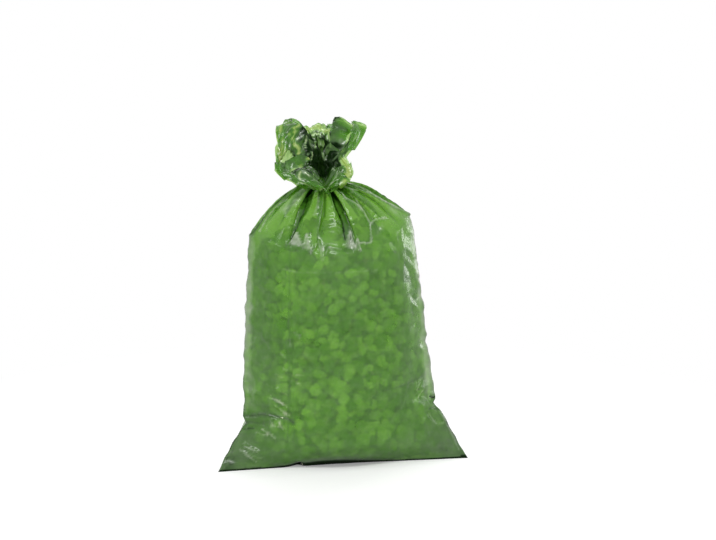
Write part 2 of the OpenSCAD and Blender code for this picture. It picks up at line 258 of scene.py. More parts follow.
def collar(a, t, fold):
    """A row of the collar at azimuths a, and its outward direction"""
    low, edge = neck(a, fold, NECK_HEIGHT + NECK_LENGTH / 2), collar_edge(a)
    out = np.stack([cosd(a), sind(a), 0 * a], -1)
    in_front = bump(turn(a, FRONT_AZIMUTH), 0, FRONT_WIDTH)
    lift = mix(COLLAR_LIFT, FRONT_LIFT, in_front)
    first = low + out * LEAVES_OUT
    first[:, 2] += lift * LEAVES_UP
    over = edge - out * TURNS_INSIDE
    over[:, 2] = np.maximum(edge[:, 2] - TURNS_BELOW, NECK_HEIGHT - TURNS_BELOW * in_front) + lift / 2
    u = 1 - t
    p = u ** 3 * low + 3 * u * u * t * first + 3 * u * t * t * over + t ** 3 * edge
    d = 3 * u * u * (first - low) + 6 * u * t * (over - first) + 3 * t * t * (edge - over)
    run = (d * out).sum(1)
    length = np.hypot(run, d[:, 2])[:, None] + 1e-6
    return p, out * (d[:, 2:] / length) + np.array([0, 0, -1.0]) * (run[:, None] / length)


def weld(a):
    """The weld on the floor, below the azimuths a of the foot"""
    back = np.where(a <= 180, a, 360 - a)
    p, _ = wall(back, 0 * a)
    u = np.clip(np.abs(p[:, 0]) / (EAR_SPAN / 2), 0, 1)
    notch = NOTCH * bump(p[:, 0], NOTCH_X, NOTCH_WIDTH)
    return np.stack([p[:, 0], -WELD_FORWARD + WELD_BOW * (1 - u) + notch, 0 * a], -1)


# How far the knife pleats slide sideways, in degrees: at the neck, where the collar starts, and further out
NECK_SLIDE, COLLAR_SLIDE, EDGE_SLIDE = 15, 30, 22
# The collar's calmer back: its azimuth, half its width, and from which share of the way and over which
BACK_AZIMUTH, BACK_WIDTH, BACK_FROM, BACK_OVER = 95, 34, 0.25, 0.4


def calmed(a, out, most):
    """1, and up to that much less at the collar's back, where its film is smoother"""
    return 1 - most * bump(turn(a, BACK_AZIMUTH), 0, BACK_WIDTH) * ramp(out, BACK_FROM, BACK_OVER)


def gathers(a, up, out):
    """Fold depth from -1 to 1, and how far the film slides sideways in its knife pleats, in degrees"""
    share = ramp(out, 0, 0.25)
    fold = mix(pleats(a), folds(a, out) * calmed(a, out, 0.85), share)
    side = np.where(cosd(a) > 0, -1, 1) * np.clip(np.abs(cosd(a)) * 4, 0.4, 1)
    slide = mix(NECK_SLIDE * up ** 0.7, mix(COLLAR_SLIDE, EDGE_SLIDE, ramp(out, 0, 0.6)), share)
    return fold, fold * side * slide


def film_rows():
    """Rows of the film from the weld to the collar's edge: points, outward directions where the film is
    gathered, each row's share of wall, slope and collar, and how far a point is from the contents"""
    a = AZIMUTH
    foot, line = wall(a, 0 * a)[0], weld(a)
    rows, outward, shares, free, depth = [], [], [], [], []

    def row(points, height, up, out, off=0 * a, direction=None, fold=0 * a):
        rows.append(points)
        outward.append(0 * points if direction is None else direction)
        shares.append((height, up, out))
        free.append(off)
        depth.append(fold)

    for t in np.linspace(0, 1, FOOT_ROWS + 1)[:-1]:
        row(mix(line, foot, t), 0, 0, 0)
    for h in np.linspace(0, 1, WALL_ROWS) ** 1.1:
        points, contact = wall(a, h + 0 * a)
        row(points, h, 0, 0, 1 - contact)
    for s in np.linspace(0, 1, SLOPE_ROWS + 2)[1:-1]:
        fold, slide = gathers(a, s, 0)
        points, direction = slope((a + slide) % 360, s, fold)
        row(points, 1, s, 0, 0 * a, direction, fold)
    for z in (-0.5, 0, 0.5):
        fold, slide = gathers(a, 1, 0)
        row(neck((a + slide) % 360, fold, NECK_HEIGHT + z * NECK_LENGTH), 1, 1, 0, 0 * a, None, fold)
    for t in np.linspace(0, 1, COLLAR_ROWS + 1)[1:]:
        fold, slide = gathers(a, 1, t)
        points, direction = collar((a + slide) % 360, t, fold)
        row(points, 1, 1, t, 0 * a, direction, fold)
    shares = np.array(shares).T[:, :, None] + 0 * a
    return np.array(rows), np.array(outward), shares, np.array(free), np.array(depth)


# folds and wrinkles of the film

def tent(x):
    """A sharp ridge: 1 where x is 0, falling straight to 0 where x is 1 or -1"""
    return fade(1 - np.abs(x))


# How many random values the patterns below hold each way, before they repeat
TILE = 64


def facets(u, v, seed, around=0):
    """Crumpled film, from -1 to 1: flat facets about 1 wide, with sharp folds between them. Where around is
    given, the facets close up after that many"""
    pick = np.random.RandomState(seed)
    height, leaning = pick.uniform(-1, 1, (TILE, TILE)), pick.randint(0, 2, (TILE, TILE))
    i, j = np.floor(u).astype(int), np.floor(v).astype(int)
    x, y = u - i, v - j
    column = [((i + k) % around if around else i + k) % TILE for k in (0, 1)]
    h00, h10, h01, h11 = (height[column[k], (j + m) % TILE] for k, m in ((0, 0), (1, 0), (0, 1), (1, 1)))
    low = h00 + x * (h10 - h00) + y * (h01 - h00)
    high = h11 + (1 - x) * (h01 - h11) + (1 - y) * (h10 - h11)
    right = h00 + x * (h10 - h00) + y * (h11 - h10)
    left = h00 + y * (h01 - h00) + x * (h11 - h01)
    lean = leaning[column[0], j % TILE]
    return np.where(lean == 1, np.where(x + y < 1, low, high), np.where(x > y, right, left))


# Azimuth and height, from -1 for a valley to 1 for a ridge, of the pleats in front
FRONT_PLEATS = [
    (180, 0.8), (190, -0.5), (199, 0.5), (207, 0.75), (218, 0.7), (226, -0.1), (233, -1), (240, 0.2),
    (248, 1), (255, -0.7), (262, 0.3), (268, 0.7), (273, 0.1), (279, -1.3), (287, 0.5), (294, 0.9),
    (302, -0.4), (308, -0.7), (316, 0.3), (325, 1), (332, -0.8), (341, 0.5), (349, -0.6),
]
# The pleat at the right side crease, and how many pleats the back has
SIDE_PLEAT, BACK_PLEATS = 0.8, 16


def back_pleats():
    """The same for the back: even pleats, each one a little off its place"""
    pick = np.random.RandomState(21)
    shift, height = pick.uniform(-2.5, 2.5, BACK_PLEATS), pick.uniform(0.5, 1.1, BACK_PLEATS)
    return [(180 * (n + 0.5) / BACK_PLEATS + shift[n], (1 if n % 2 else -1) * height[n])
            for n in range(BACK_PLEATS)]


def pleats(a):
    """How far the film stands out in the pleats of the slope, from -1 to 1"""
    azimuth, height = FRONT_PLEATS[-1]
    start, end = [(azimuth - 360, height), (0, SIDE_PLEAT)], [(360, SIDE_PLEAT)]
    knots = np.array(start + back_pleats() + FRONT_PLEATS + end)
    return np.interp(a, knots[:, 0], knots[:, 1])


# Painted highlights on facets at the ends of the pleats that face the light: their corners (x, z), as seen
# from the front
BRIGHT_FACETS = [
    ((-134, 595), (-112, 622), (-98, 586)), ((-99, 588), (-87, 620), (-79, 572)),
    ((7, 588), (25, 628), (34, 580)), ((34, 582), (43, 609), (49, 575)),
    ((-62, 600), (-54, 553), (-47, 590)), ((-40, 588), (-30, 592), (-18, 575)),
    ((-191, 108), (-183, 126), (-174, 112)), ((-171, 112), (-163, 130), (-156, 108)),
    ((-197, 187), (-141, 166), (-166, 185)), ((-168, 163), (-142, 152), (-146, 138)),
    ((-262, 50), (-240, 38), (-250, 32)), ((-214, 104), (-190, 96), (-196, 88)),
]
# Fainter painted highlights on flats beside the long fold, which catch less light
FAINT_FACETS = [
    ((-163, 303), (-143, 297), (-160, 311)), ((-179, 255), (-161, 240), (-150, 247)),
    ((-159, 275), (-141, 256), (-143, 267)), ((-138, 250), (-103, 254), (-122, 259)),
    ((-180, 148), (-141, 128), (-143, 146)), ((-131, 238), (-112, 226), (-108, 236)),
    ((-136, 352), (-141, 325), (-132, 330)), ((-132, 372), (-112, 348), (-108, 362)),
]
# The facets, each group with how strong its painted highlight is
PAINTED_HIGHLIGHTS = ((BRIGHT_FACETS, 0.85), (FAINT_FACETS, 0.42))


def inside(corners, x, z):
    """How far each (x, z) is inside a triangle, in mm, and under 0 outside it"""
    (first_x, first_z), (second_x, second_z), (third_x, third_z) = corners
    turned = ((second_x - first_x) * (third_z - first_z)
              - (second_z - first_z) * (third_x - first_x))
    sides = []
    for (x0, z0), (x1, z1) in zip(corners, corners[1:] + corners[:1]):
        across = ((x1 - x0) * (z - z0) - (z1 - z0) * (x - x0)) / np.hypot(x1 - x0, z1 - z0)
        sides.append(across * np.sign(turned))
    return np.min(sides, axis=0)


# Points of the film this near to a crease, in mm, move onto it, so that it comes out sharp
SNAP = 2.2

# Folds across the front, as seen from there: points (x, z), half width and height of the ridge, and its
# mark. A height under 0 is a furrow. A mark over 0 is a painted highlight along the fold, one under 0 is
# painted shade in it, partly film folded on itself
CREASES = [
    ([(-132, 610), (-134, 535), (-138, 397), (-141, 194), (-148, 46)], 4.5, 1.2, -0.25),
    ([(-148, 530), (-112, 524), (0, 525), (92, 526)], 4.5, 1.1, 0.3),
    ([(-132, 594), (-112, 622), (-99, 584), (-87, 620), (-80, 574)], 4, 7, 1.1),
    ([(-116, 588), (-108, 598), (-92, 586), (-84, 598)], 9, 0, 0.2),
    ([(-76, 579), (-60, 603), (-54, 550), (-35, 590), (-4, 583)], 4, 4, 0.45),
    ([(9, 590), (25, 626), (34, 578), (43, 608), (48, 577)], 4, 7, 1.1),
    ([(18, 592), (30, 600)], 9, 0, 0.2),
    ([(46, 597), (78, 595), (82, 642), (99, 651), (129, 654)], 3.2, 5, 1.0),
    ([(120, 639), (98, 616)], 12, 0, 0.25),
    ([(35, 746), (82, 726), (112, 706), (144, 685), (179, 667), (212, 651)], 4, 5, 1.1),
    ([(150, 672), (190, 650)], 12, 0, 0.45),
    ([(19, 736), (62, 723)], 3.2, 3, 0.8),
    ([(13, 721), (23, 706), (48, 693), (65, 674)], 3.4, 4, 0.95),
    ([(52, 703), (58, 690), (69, 672), (80, 646)], 3.4, 3, 0.65),
    ([(-80, 730), (-94, 708), (-118, 692), (-138, 676)], 13, 3, 0.6),
    ([(-94, 739), (-129, 703), (-162, 675), (-183, 647), (-201, 619)], 3.4, 3, 0.75),
    ([(-102, 742), (-138, 706), (-176, 673), (-199, 641), (-223, 609)], 8, -3, -0.8),
    ([(70, 741), (115, 722), (155, 699), (195, 668)], 9, -2, -0.55),
    ([(-72, 717), (-87, 686), (-106, 649), (-127, 607)], 7, -4, -0.85),
    ([(-11, 714), (-4, 683), (8, 648), (10, 606)], 7, -4, -0.95),
    ([(-31, 727), (-35, 699), (-41, 662)], 6, -3, -0.6),
    ([(-64, 722), (-72, 699), (-91, 668)], 6, -3, -0.7),
    ([(-49, 716), (-55, 692), (-66, 668)], 3.4, 3, 0.6),
    ([(-265, 129), (-244, 130), (-210, 138), (-175, 139), (-145, 136), (-131, 126)], 8, -3.5, -0.75),
    ([(-250, 112), (-232, 116), (-205, 114)], 5, -2.5, -0.45),
    ([(-255, 99), (-232, 103)], 5, -2.5, -0.8),
    ([(-183, 192), (-165, 180), (-140, 168)], 6, 3, 0.3),
    ([(-176, 168), (-158, 158), (-140, 146)], 6, 3, 0.45),
    ([(-193, 109), (-186, 122), (-176, 118), (-166, 127), (-150, 108)], 5, 3.5, 0.3),
    ([(-210, 102), (-176, 82)], 3.6, 3.5, 0.55),
    ([(-224, 93), (-205, 89), (-185, 92)], 3.6, 3, 0.45),
    ([(-268, 51), (-228, 22)], 3.6, 3.5, 0.65),
    ([(-253, 58), (-221, 45)], 3.6, 3.5, 0.55),
    ([(-262, 66), (-236, 36), (-212, 30)], 5, 2.5, 0.3),
    ([(210, 183), (222, 196), (233, 208)], 4, 3, 0.5),
    ([(216, 163), (226, 172), (234, 180)], 4.5, 3, 0.55),
    ([(208, 190), (214, 204)], 4, 2.5, 0.4),
    ([(79, 192), (112, 206), (188, 210), (237, 213)], 4, -1.5, -0.35),
    ([(256, 158), (270, 152)], 6, -2, -1),
    ([(250, 128), (262, 129), (277, 121)], 5, -2.5, -0.7),
    ([(249, 118), (257, 102), (269, 90), (288, 88)], 4.5, -2.5, 0.5),
    ([(281, 114), (305, 70), (324, 24)], 6, 2, 0.4),
    ([(-176, 305), (-142, 256)], 6, 2.2, 0.15),
    ([(-195, 221), (-143, 200)], 7, 2.6, 0.2),
    ([(-190, 200), (-150, 222)], 6, 2, 0.15),
]


def way_to(points, x, z):
    """The way, in the plane of the front, from each (x, z) to the nearest point of a line: across and up"""
    best, across, rise = np.full(np.shape(x), 1e9), 0 * x, 0 * x
    for (x0, z0), (x1, z1) in zip(points, points[1:]):
        dx, dz = x1 - x0, z1 - z0
        t = np.clip(((x - x0) * dx + (z - z0) * dz) / (dx * dx + dz * dz), 0, 1)
        to_x, to_z = x0 + t * dx - x, z0 + t * dz - z
        nearer = np.hypot(to_x, to_z) < best
        best = np.where(nearer, np.hypot(to_x, to_z), best)
        across, rise = np.where(nearer, to_x, across), np.where(nearer, to_z, rise)
    return across, rise


def normals(points):
    """The film's outward direction at each point"""
    along = np.roll(points, -1, 1) - np.roll(points, 1, 1)
    up = np.gradient(points, axis=0)
    n = np.cross(along, up)
    return n / (np.linalg.norm(n, axis=2, keepdims=True) + 1e-9)


# The collar's deep folds, and how far they wander round it on the way to its edge, in degrees
DEEP_FOLDS, FOLDS_WANDER = 28, 9


def folds(a, t):
    """How far each point of the collar stands out in its deep folds, from about -1 to 1"""
    pick = np.random.RandomState(4)
    knots = np.arange(DEEP_FOLDS) + pick.uniform(-0.35, 0.35, DEEP_FOLDS)
    knots = np.sort(knots * 360 / DEEP_FOLDS)
    heights = np.where(np.arange(DEEP_FOLDS) % 2, 1, -1) * pick.uniform(0.4, 1.1, DEEP_FOLDS)
    x = np.concatenate([knots - 360, knots, knots + 360])
    wander = FOLDS_WANDER * np.sin(4 * t + np.radians(a * 2))
    return np.interp((a + wander) % 360, x, np.tile(heights, 3))


def finer(rows):
    """The same surface with a point halfway between each two, round it and up it"""
    halfway = (rows + np.roll(rows, -1, 1)) / 2
    rows = np.stack([rows, halfway], 2).reshape(len(rows), -1, rows.shape[-1])
    out = np.empty((2 * len(rows) - 1,) + rows.shape[1:])
    out[::2], out[1::2] = rows, (rows[1:] + rows[:-1]) / 2
    return out


def buckled(rows, hold, surplus):
    """Cloth simulation of the gathered film. It has more film than its drawn shape needs, so it buckles
    into creases, while soft pins keep it near that shape. hold is 1 where it can't move"""
    count, columns = rows.shape[:2]
    index = np.arange(count * columns).reshape(count, columns)
    right = np.roll(index, -1, 1)
    faces = np.stack([index[:-1], right[:-1], right[1:], index[1:]], -1).reshape(-1, 4)
    mesh = bpy.data.meshes.new("gathered_film")
    mesh.from_pydata((rows.reshape(-1, 3) * MM).tolist(), [], faces.tolist())
    piece = link("gathered_film", mesh)
    pins, taut = (piece.vertex_groups.new(name=n) for n in ("pins", "taut"))
    for i, (pin, loose) in enumerate(zip(hold.reshape(-1), surplus.reshape(-1))):
        pins.add([i], float(pin), "REPLACE")
        taut.add([i], float(1 - loose), "REPLACE")
    cloth = piece.modifiers.new("cloth", "CLOTH")
    film = cloth.settings
    film.quality = 6
    film.mass = 0.05
    film.tension_stiffness = film.compression_stiffness = 15
    film.shear_stiffness = 5
    film.bending_model = "ANGULAR"
    film.bending_stiffness = 0.12
    film.air_damping = 2
    film.vertex_group_mass, film.vertex_group_shrink = "pins", "taut"
    film.shrink_min, film.shrink_max = -SURPLUS, 0
    film.effector_weights.gravity = 0
    cloth.collision_settings.use_collision = False
    scene = bpy.context.scene
    cloth.point_cache.frame_start, cloth.point_cache.frame_end = 1, SETTLING_FRAMES
    for frame_number in range(1, SETTLING_FRAMES + 1):
        scene.frame_set(frame_number)
    after = np.empty(count * columns * 3)
    piece.evaluated_get(bpy.context.evaluated_depsgraph_get()).data.vertices.foreach_get("co", after)
    bpy.data.objects.remove(piece)
    scene.frame_set(1)
    return after.reshape(rows.shape) / MM


# Heights of the folds in mm: the slope's pleats, the collar's deep folds, which are a share of the distance
# from the neck up to a limit, and the crumpled facets on them
PLEAT, FOLD_SHARE, DEEPEST_FOLD, CRUSH = 16, 0.22, 15, 6.5
# The simulation takes the film from this share of the wall's height. How far up and out from the neck the
# film is tied, and how firmly and how loosely the slope's film is held and cut
LOOSE_FROM, TIED_UP, TIED_OUT, SLOPE_HOLD, SLOPE_SURPLUS = 0.93, 12, 40, 0.6, 0.15


def fold_height(a, reach, up, out, fold):
    """How far the pleats, the deep folds and the crumpled facets move the gathered film outward, in mm"""
    move = np.where(up < 1, PLEAT * up ** 0.7 * (1 - up) ** 0.4 * fold, 0)
    deep = np.minimum(FOLD_SHARE * reach, DEEPEST_FOLD) * np.clip(out * 6, 0, 1)
    crumple = CRUSH * calmed(a, out, 0.7) * np.clip(out * 2.5, 0, 1)
    crush = deep * fold + crumple * facets(a / 12 + 2 * out, out * 6 + a / 90, seed=41, around=30)
    return move + crush * (out > 0)


def gathered_film():
    """The film's main form with its pleats and deep folds, which the simulation crumples"""
    points, outward, (height, up, out), free, fold = film_rows()
    a = AZIMUTH + 0 * height
    reach = np.hypot(points[..., 0] - NECK_SHIFT, points[..., 1])
    gathered = np.abs(outward).sum(2) > 0
    face = np.where(gathered[..., None], outward, normals(points))
    points = points + face * fold_height(a, reach, up, out, fold)[..., None]
    first = int(np.argmax(height[:, 0] > LOOSE_FROM))
    in_collar = ramp(out, 0, 0.1)
    tied = bump(points[..., 2], NECK_HEIGHT, TIED_UP) * (reach < TIED_OUT)
    hold = np.maximum(mix(mix(1, SLOPE_HOLD, ramp(up, 0, 0.3)), SOFT_HOLD, in_collar), tied)
    hold = np.maximum(hold, RIM_HOLD * ramp(out, 0.75, 0.25))
    surplus = mix(SLOPE_SURPLUS * ramp(up, 0.1, 0.3), 1, in_collar)
    points[first:] = buckled(points[first:], hold[first:], surplus[first:])
    return points, up, out, free, fold


def neighbours(points):
    """The mean of each point's four neighbours on the grid"""
    above, below = np.concatenate([points[1:], points[-1:]]), np.concatenate([points[:1], points[:-1]])
    return (np.roll(points, 1, 1) + np.roll(points, -1, 1) + above + below) / 4


def sharpness(points):
    """How sharply the film is folded: over 0 on a ridge and under 0 in a valley"""
    across = np.linalg.norm(np.roll(points, -1, 1) - np.roll(points, 1, 1), axis=2) / 2
    return ((points - neighbours(points)) * normals(points)).sum(2) / (across + 1)


def patches(u, v, seed, around):
    """Film that lies on itself, which the collar paints as light and shade: sharp-edged patches about 1
    wide, each with one value from 0 to 1
    """
    value = np.random.RandomState(seed).uniform(0, 1, (TILE, TILE, 2))
    i, j = np.floor(u).astype(int), np.floor(v).astype(int)
    return value[i % around, j % TILE, ((u - i) + (v - j) < 1).astype(int)]


# Marks of painted light and shade on the collar: a line of points (azimuth, share of the way to the edge),
# its half width, the film's darkness there, from -1 for one bright sheet with painted light behind it to 1
# for film many times over, dark with painted shade, and how strong its painted highlight is
COLLAR_MARKS = [
    ([(115, 0.4), (118, 0.23), (80, 0.1)], 20, 1, 0),
    ([(78, 0.42), (49, 0.34), (26, 0.28)], 7, 0.85, 0),
    ([(57, 0.6), (50, 0.52), (24, 0.56)], 9, 0.25, 0.12),
    ([(229, 0.44), (244, 0.6)], 8, 0.9, 0),
    ([(184, 0.71), (182, 0.52)], 4, 0.9, 0),
    ([(191, 0.56)], 7, 0.9, 0),
    ([(174, 0.6), (151, 0.48)], 7, 0.85, 0),
    ([(177, 0.92), (194, 0.92)], 7, 0.6, 0),
    ([(198, 0.62), (195, 0.6)], 6, 0.35, 0),
    ([(357, 0.56), (357, 0.88)], 4, 0.9, 0),
    ([(31, 0.66), (35, 0.75), (46, 0.75)], 13, 0.62, 0),
    ([(38, 0.83), (36, 0.94)], 6, 1, 0),
    ([(183, 0.81)], 8, 0.7, 0.12),
    ([(23, 0.56)], 9, 0.5, 0.25),
    ([(46, 0.48)], 6, 0.5, 0.2),
    ([(160, 0.83), (180, 0.69), (179, 0.56), (192, 0.4)], 8, -1, 0.1),
    ([(166, 0.6), (174, 0.46)], 4, -1, 0.6),
    ([(167, 0.38), (176, 0.29)], 4, -1, 0.5),
    ([(182, 0.94), (165, 0.9), (175, 0.85)], 9, -0.8, 0.05),
    ([(190, 0.92)], 6, 0.1, 0.5),
    ([(161, 0.65)], 5, 0.1, 0.4),
    ([(189, 0.75), (191, 0.69)], 7, -0.3, 0.45),
    ([(185, 0.67), (193, 0.54)], 6, -0.2, 0.25),
    ([(240, 0.71), (240, 0.9)], 5, -0.9, 0.5),
    ([(242, 0.69), (244, 0.73)], 4, -0.8, 0.7),
    ([(239, 0.96), (242, 0.96), (252, 0.92)], 4, -0.7, 0.4),
    ([(244, 0.71), (260, 0.81), (263, 0.88)], 3.2, -0.2, 0.75),
    ([(263, 0.94), (280, 0.73), (281, 0.83)], 3.2, -0.2, 0.75),
    ([(123, 0.88), (94, 0.83), (58, 0.71)], 12, -0.85, 0.1),
    ([(109, 0.69), (91, 0.67)], 4, -0.5, 0.7),
    ([(112, 0.5)], 5, 0, 0.55),
    ([(56, 0.6), (45, 0.73)], 3.4, -0.2, 0.6),
    ([(24, 0.56)], 4, 0, 0.5),
    ([(15, 0.81)], 6, -0.6, 0.35),
    ([(354, 0.88), (345, 0.87), (334, 0.85), (320, 0.9), (301, 0.96)], 12, -0.95, 0.08),
    ([(355, 0.44), (353, 0.81)], 5, -0.4, 0.1),
    ([(293, 0.46), (282, 0.73)], 3.4, -0.3, 0.7),
    ([(285, 0.73)], 4, 1, 0),
    ([(58, 0.38), (47, 0.29)], 4, 0.2, 0.4),
]


# How many places a mark takes for each piece of its line, and how strong it is in its middle
MARK_STEPS, MARK_STRENGTH = 12, 1.6


def mark_collar(points, out, layers, haze):
    """Puts the collar's marks of painted light, shade and highlight on the film. Distances are measured in
    space, so a mark stays on its layer
    """
    rows = np.flatnonzero(out[:, 0] > 0)
    places = points[rows]
    for line, wide, light_and_shade, white in COLLAR_MARKS:
        line = np.array(line, float)
        steps = np.linspace(0, len(line) - 1, 1 + MARK_STEPS * (len(line) - 1))
        azimuth, share = (np.interp(steps, np.arange(len(line)), line[:, k]) for k in (0, 1))
        at_row = np.abs(out[rows, 0][:, None] - share).argmin(0)
        at_column = np.round(azimuth * points.shape[1] / 360).astype(int) % points.shape[1]
        spots = places[at_row, at_column]
        far = np.min([np.linalg.norm(places - spot, axis=2) for spot in spots], axis=0)
        weight = np.clip(MARK_STRENGTH * tent(far / wide), 0, 1)
        # Painted light and shade, and painted highlights, along each mark
        layers[rows] = mix(layers[rows], light_and_shade, weight)
        haze[rows] = mix(haze[rows], white, weight)
    return layers, haze


# The numbers in the steps below were chosen one by one. Those beside x, z and reach are in mm, those beside
# a in degrees, those beside up, out and free are shares, and a seed picks one random pattern


def fine_film():
    """The gathered film on a finer grid, with what the next steps ask at each of its points. up and out are
    the shares of the slope and of the collar, free how far the film is from the contents, fold the depth
    of its folds, and the masks from wall to in_collar say which part of the sack a point is in"""
    points, up, out, free, fold = gathered_film()
    points = finer(points)
    up, out, free, fold = (finer(v[..., None])[..., 0] for v in (up, out, free, fold))
    a = np.arange(2 * COLUMNS) * 180.0 / COLUMNS + 0 * up
    return SimpleNamespace(
        points=points, face=normals(points), a=a, up=up, out=out, free=free, fold=fold,
        wall=up < 0.001, below_neck=out == 0, in_front=(sind(a) < 0.05) * (out == 0),
        gathered=np.clip(up * 6, 0, 1), in_collar=np.clip(out * 3, 0, 1))


def uneven_wall(f):
    """How far the contents push the film on them out or let it in: broad lumps, single chips, facets"""
    x, z = f.points[..., 0], f.points[..., 2]
    broad, single = field(f.points, 90, seed=1, octaves=1), field(f.points, 24, seed=3, octaves=1)
    uneven = broad * 2.0 + single * 1.2 * (f.free < 0.01)
    uneven += 0.7 * facets(x / 47 + z / 160, z / 39 - x / 150, seed=37)
    return uneven * ramp(z, 0, 60) * f.wall * (1 - f.free)


def crease_front(f, move):
    """Adds the creases to move, and snaps the film's points onto them. Says where they carry a painted
    highlight and where painted shade, partly film that lies folded on itself"""
    x, y, z = (f.points[..., k] for k in (0, 1, 2))
    facing = np.clip(-f.face[..., 1] * 3, 0, 1) * f.below_neck
    white, double_and_crease_shade = 0 * x, 0 * x
    for line, wide, high, mark in CREASES:
        across, rise = way_to(line, x, z)
        onto = (np.hypot(across, rise) < SNAP) * f.in_front * (z > 3)
        x, z = x + across * onto, z + rise * onto
        on_line = tent(np.hypot(*way_to(line, x, z)) / wide)
        move += high * on_line * facing
        on_line = on_line * f.in_front
        # Marks over 0 paint a highlight along the fold, marks under 0 paint shade in it
        white, double_and_crease_shade = np.maximum(white, mark * on_line), np.maximum(double_and_crease_shade, -mark * on_line)
    f.points, f.front_x = np.stack([x, y, z], -1), x
    return white, double_and_crease_shade


def paint_facet_highlights(f, white):
    """Adds the painted highlights of the facets, and makes all that is white patchy"""
    x, z = f.points[..., 0], f.points[..., 2]
    for flats, strength in PAINTED_HIGHLIGHTS:
        for corners in flats:
            # A painted highlight fills each facet
            in_flat = np.clip(inside(corners, x, z) / 4 + 0.5, 0, 1)
            white = np.maximum(white, strength * in_flat * f.in_front)
    return white * np.clip(0.75 + 0.6 * field(f.points, 11, seed=15), 0.2, 1.1)


def small_facets(f):
    """Each part's own small facets, in mm: at the lower ends of the pleats, in the ears, at the wall's
    sides and, in two sizes, in the outer collar"""
    a, up, out = f.a, f.up, f.out
    x, y, z = (f.points[..., k] for k in (0, 1, 2))
    ends = bump(z - shoulder_height(a), 12, 42) * f.below_neck * (up < 1)
    yield ends * 2.6 * facets(a / 7 + 0.3 * up, z / 26 + a / 60, seed=31)
    ear = ramp(np.abs(x), 215, 60) * ramp(z, 165, -40) * ramp(z, 0, 12)
    yield ear * 2.4 * facets(x / 26 + z / 50, z / 19, seed=33) * f.wall
    side = ramp(np.abs(x - middle(z)) / half_width(z), 0.55, 0.3) * f.wall * ramp(z, 0, 60)
    yield side * 2.2 * facets(x / 24 + z / 90, z / 21 + x / 70, seed=35)
    outer = f.in_collar * ramp(np.hypot(x - NECK_SHIFT, y), 45, 60)
    yield outer * 1.6 * facets(a / 5 + 3 * out, out * 13, seed=43, around=72)
    yield outer * 3.6 * facets(a / 10 + 2 * out, out * 6, seed=47, around=36)


def eased(f, points):
    """Takes the ripple out of the film: near the neck, at the collar's edge, and less in all of the collar
    and on the slope"""
    reach = np.hypot(f.points[..., 0] - NECK_SHIFT, f.points[..., 1])
    ease = 0.7 * f.in_collar * np.maximum(ramp(reach, 75, -35), 0.6 * ramp(f.out, 0.82, 0.15))
    ease = np.maximum(ease, 0.4 * f.in_collar + 0.45 * np.clip(f.up * 4, 0, 1) * f.below_neck)
    for _ in range(2):
        points = mix(points, neighbours(points), ease[..., None])
    return points


def wave_free_film(f, points):
    """Gives the film that hangs free at the side creases its waves, to the front and back and in and out"""
    z = f.points[..., 2]
    side = np.sign(f.front_x)
    wavy, scallop = (field(np.stack([side * 300, 0 * z + shift, z], -1), size, seed)
                     for shift, size, seed in ((0, 34, 8), (50, 30, 9)))
    free = ramp(z, 0, 30) * f.wall
    points[..., 1] += 7 * wavy * f.free * free
    points[..., 0] += side * 2.6 * scallop * f.free * free
    f.points = points
    return wavy, scallop


def layers_in_gathers(f, reach, furrow):
    """Layers on each other where the film is gathered, with painted shade: many and darker near the neck,
    in valleys and in furrows, and in the collar sharp-edged patches, dark ones of painted shade and bright
    ones of painted light, where the film lies on itself"""
    z = f.points[..., 2]
    # Painted shade in the valleys and furrows, and near the neck below, where film also lies many times
    # over
    valley = np.clip(-f.fold, 0, 1) ** 1.4 * np.where(f.out > 0, 0.3, 1.0 * f.up ** 0.5)
    valley = valley + 0.5 * furrow * f.gathered
    near_neck = np.clip(1.35 - reach / 55, 0, 1) * ramp(z, 560, 60)
    lying = patches(f.a / 20 + 1.4 * f.out + 0.3 * f.fold, f.out * 3.5, seed=51, around=18)
    # Patches that paint shade, and further from the neck also bright patches of painted glow
    overlap_light_and_shade = fade(lying - 0.45) - 1.6 * fade(0.4 - lying) * ramp(reach, 45, 25)
    return near_neck + valley + f.in_collar * overlap_light_and_shade


def layers_elsewhere(f, white, double_and_crease_shade):
    """Layers on each other below the gathers, and painted shade: at the side creases, a painted shadow
    under the foot, darker film in the ears and their tips, painted shade in folds, and more painted shade
    at the front's sides and near the foot, with a random tone on top"""
    x, z = f.front_x, f.points[..., 2]
    low_down = bump(z, 70, 60)
    crease_width = 3.2 + 2.6 * low_down
    at_crease = sum(tent(turn(f.a, at) / crease_width) for at in (0, 180))
    # A painted shadow under the foot: a dark strip along the bottom of the front, thickest near its middle
    underside_shadow = np.clip(1.8 - z / (4 + 19 * bump(x, -20, 105)), 0, 1) * (sind(f.a) < 0.05)
    # Painted shade at the side creases, together with the painted shadow under the foot
    edges = np.maximum((0.6 + 0.35 * low_down) * at_crease * f.below_neck, underside_shadow)
    ears = ramp(np.abs(x), 225, 60) * ramp(z, 170, -50)
    tips = ramp(x, EAR_SPAN / 2 - 18, 8) * (z < 9)
    marked = np.maximum(np.maximum(edges, double_and_crease_shade), np.maximum(tips, 0.35 * ears))
    marked = marked - 0.75 * white * (z < 260) * (marked < 0.5)
    # Painted shade on the left and right of the front and near the foot, with a random tone on top
    flank_shade = 0.2 * ramp(x, -150, -30) + 0.14 * ramp(x, 110, 60)
    shade_and_tone = flank_shade * f.in_front + 0.14 * field(f.points, 16, seed=19)
    shade_and_tone = shade_and_tone + 0.16 * bump(z, 25, 45) * f.in_front
    return marked + shade_and_tone * (1 - f.gathered) * f.below_neck * (marked < 0.5)


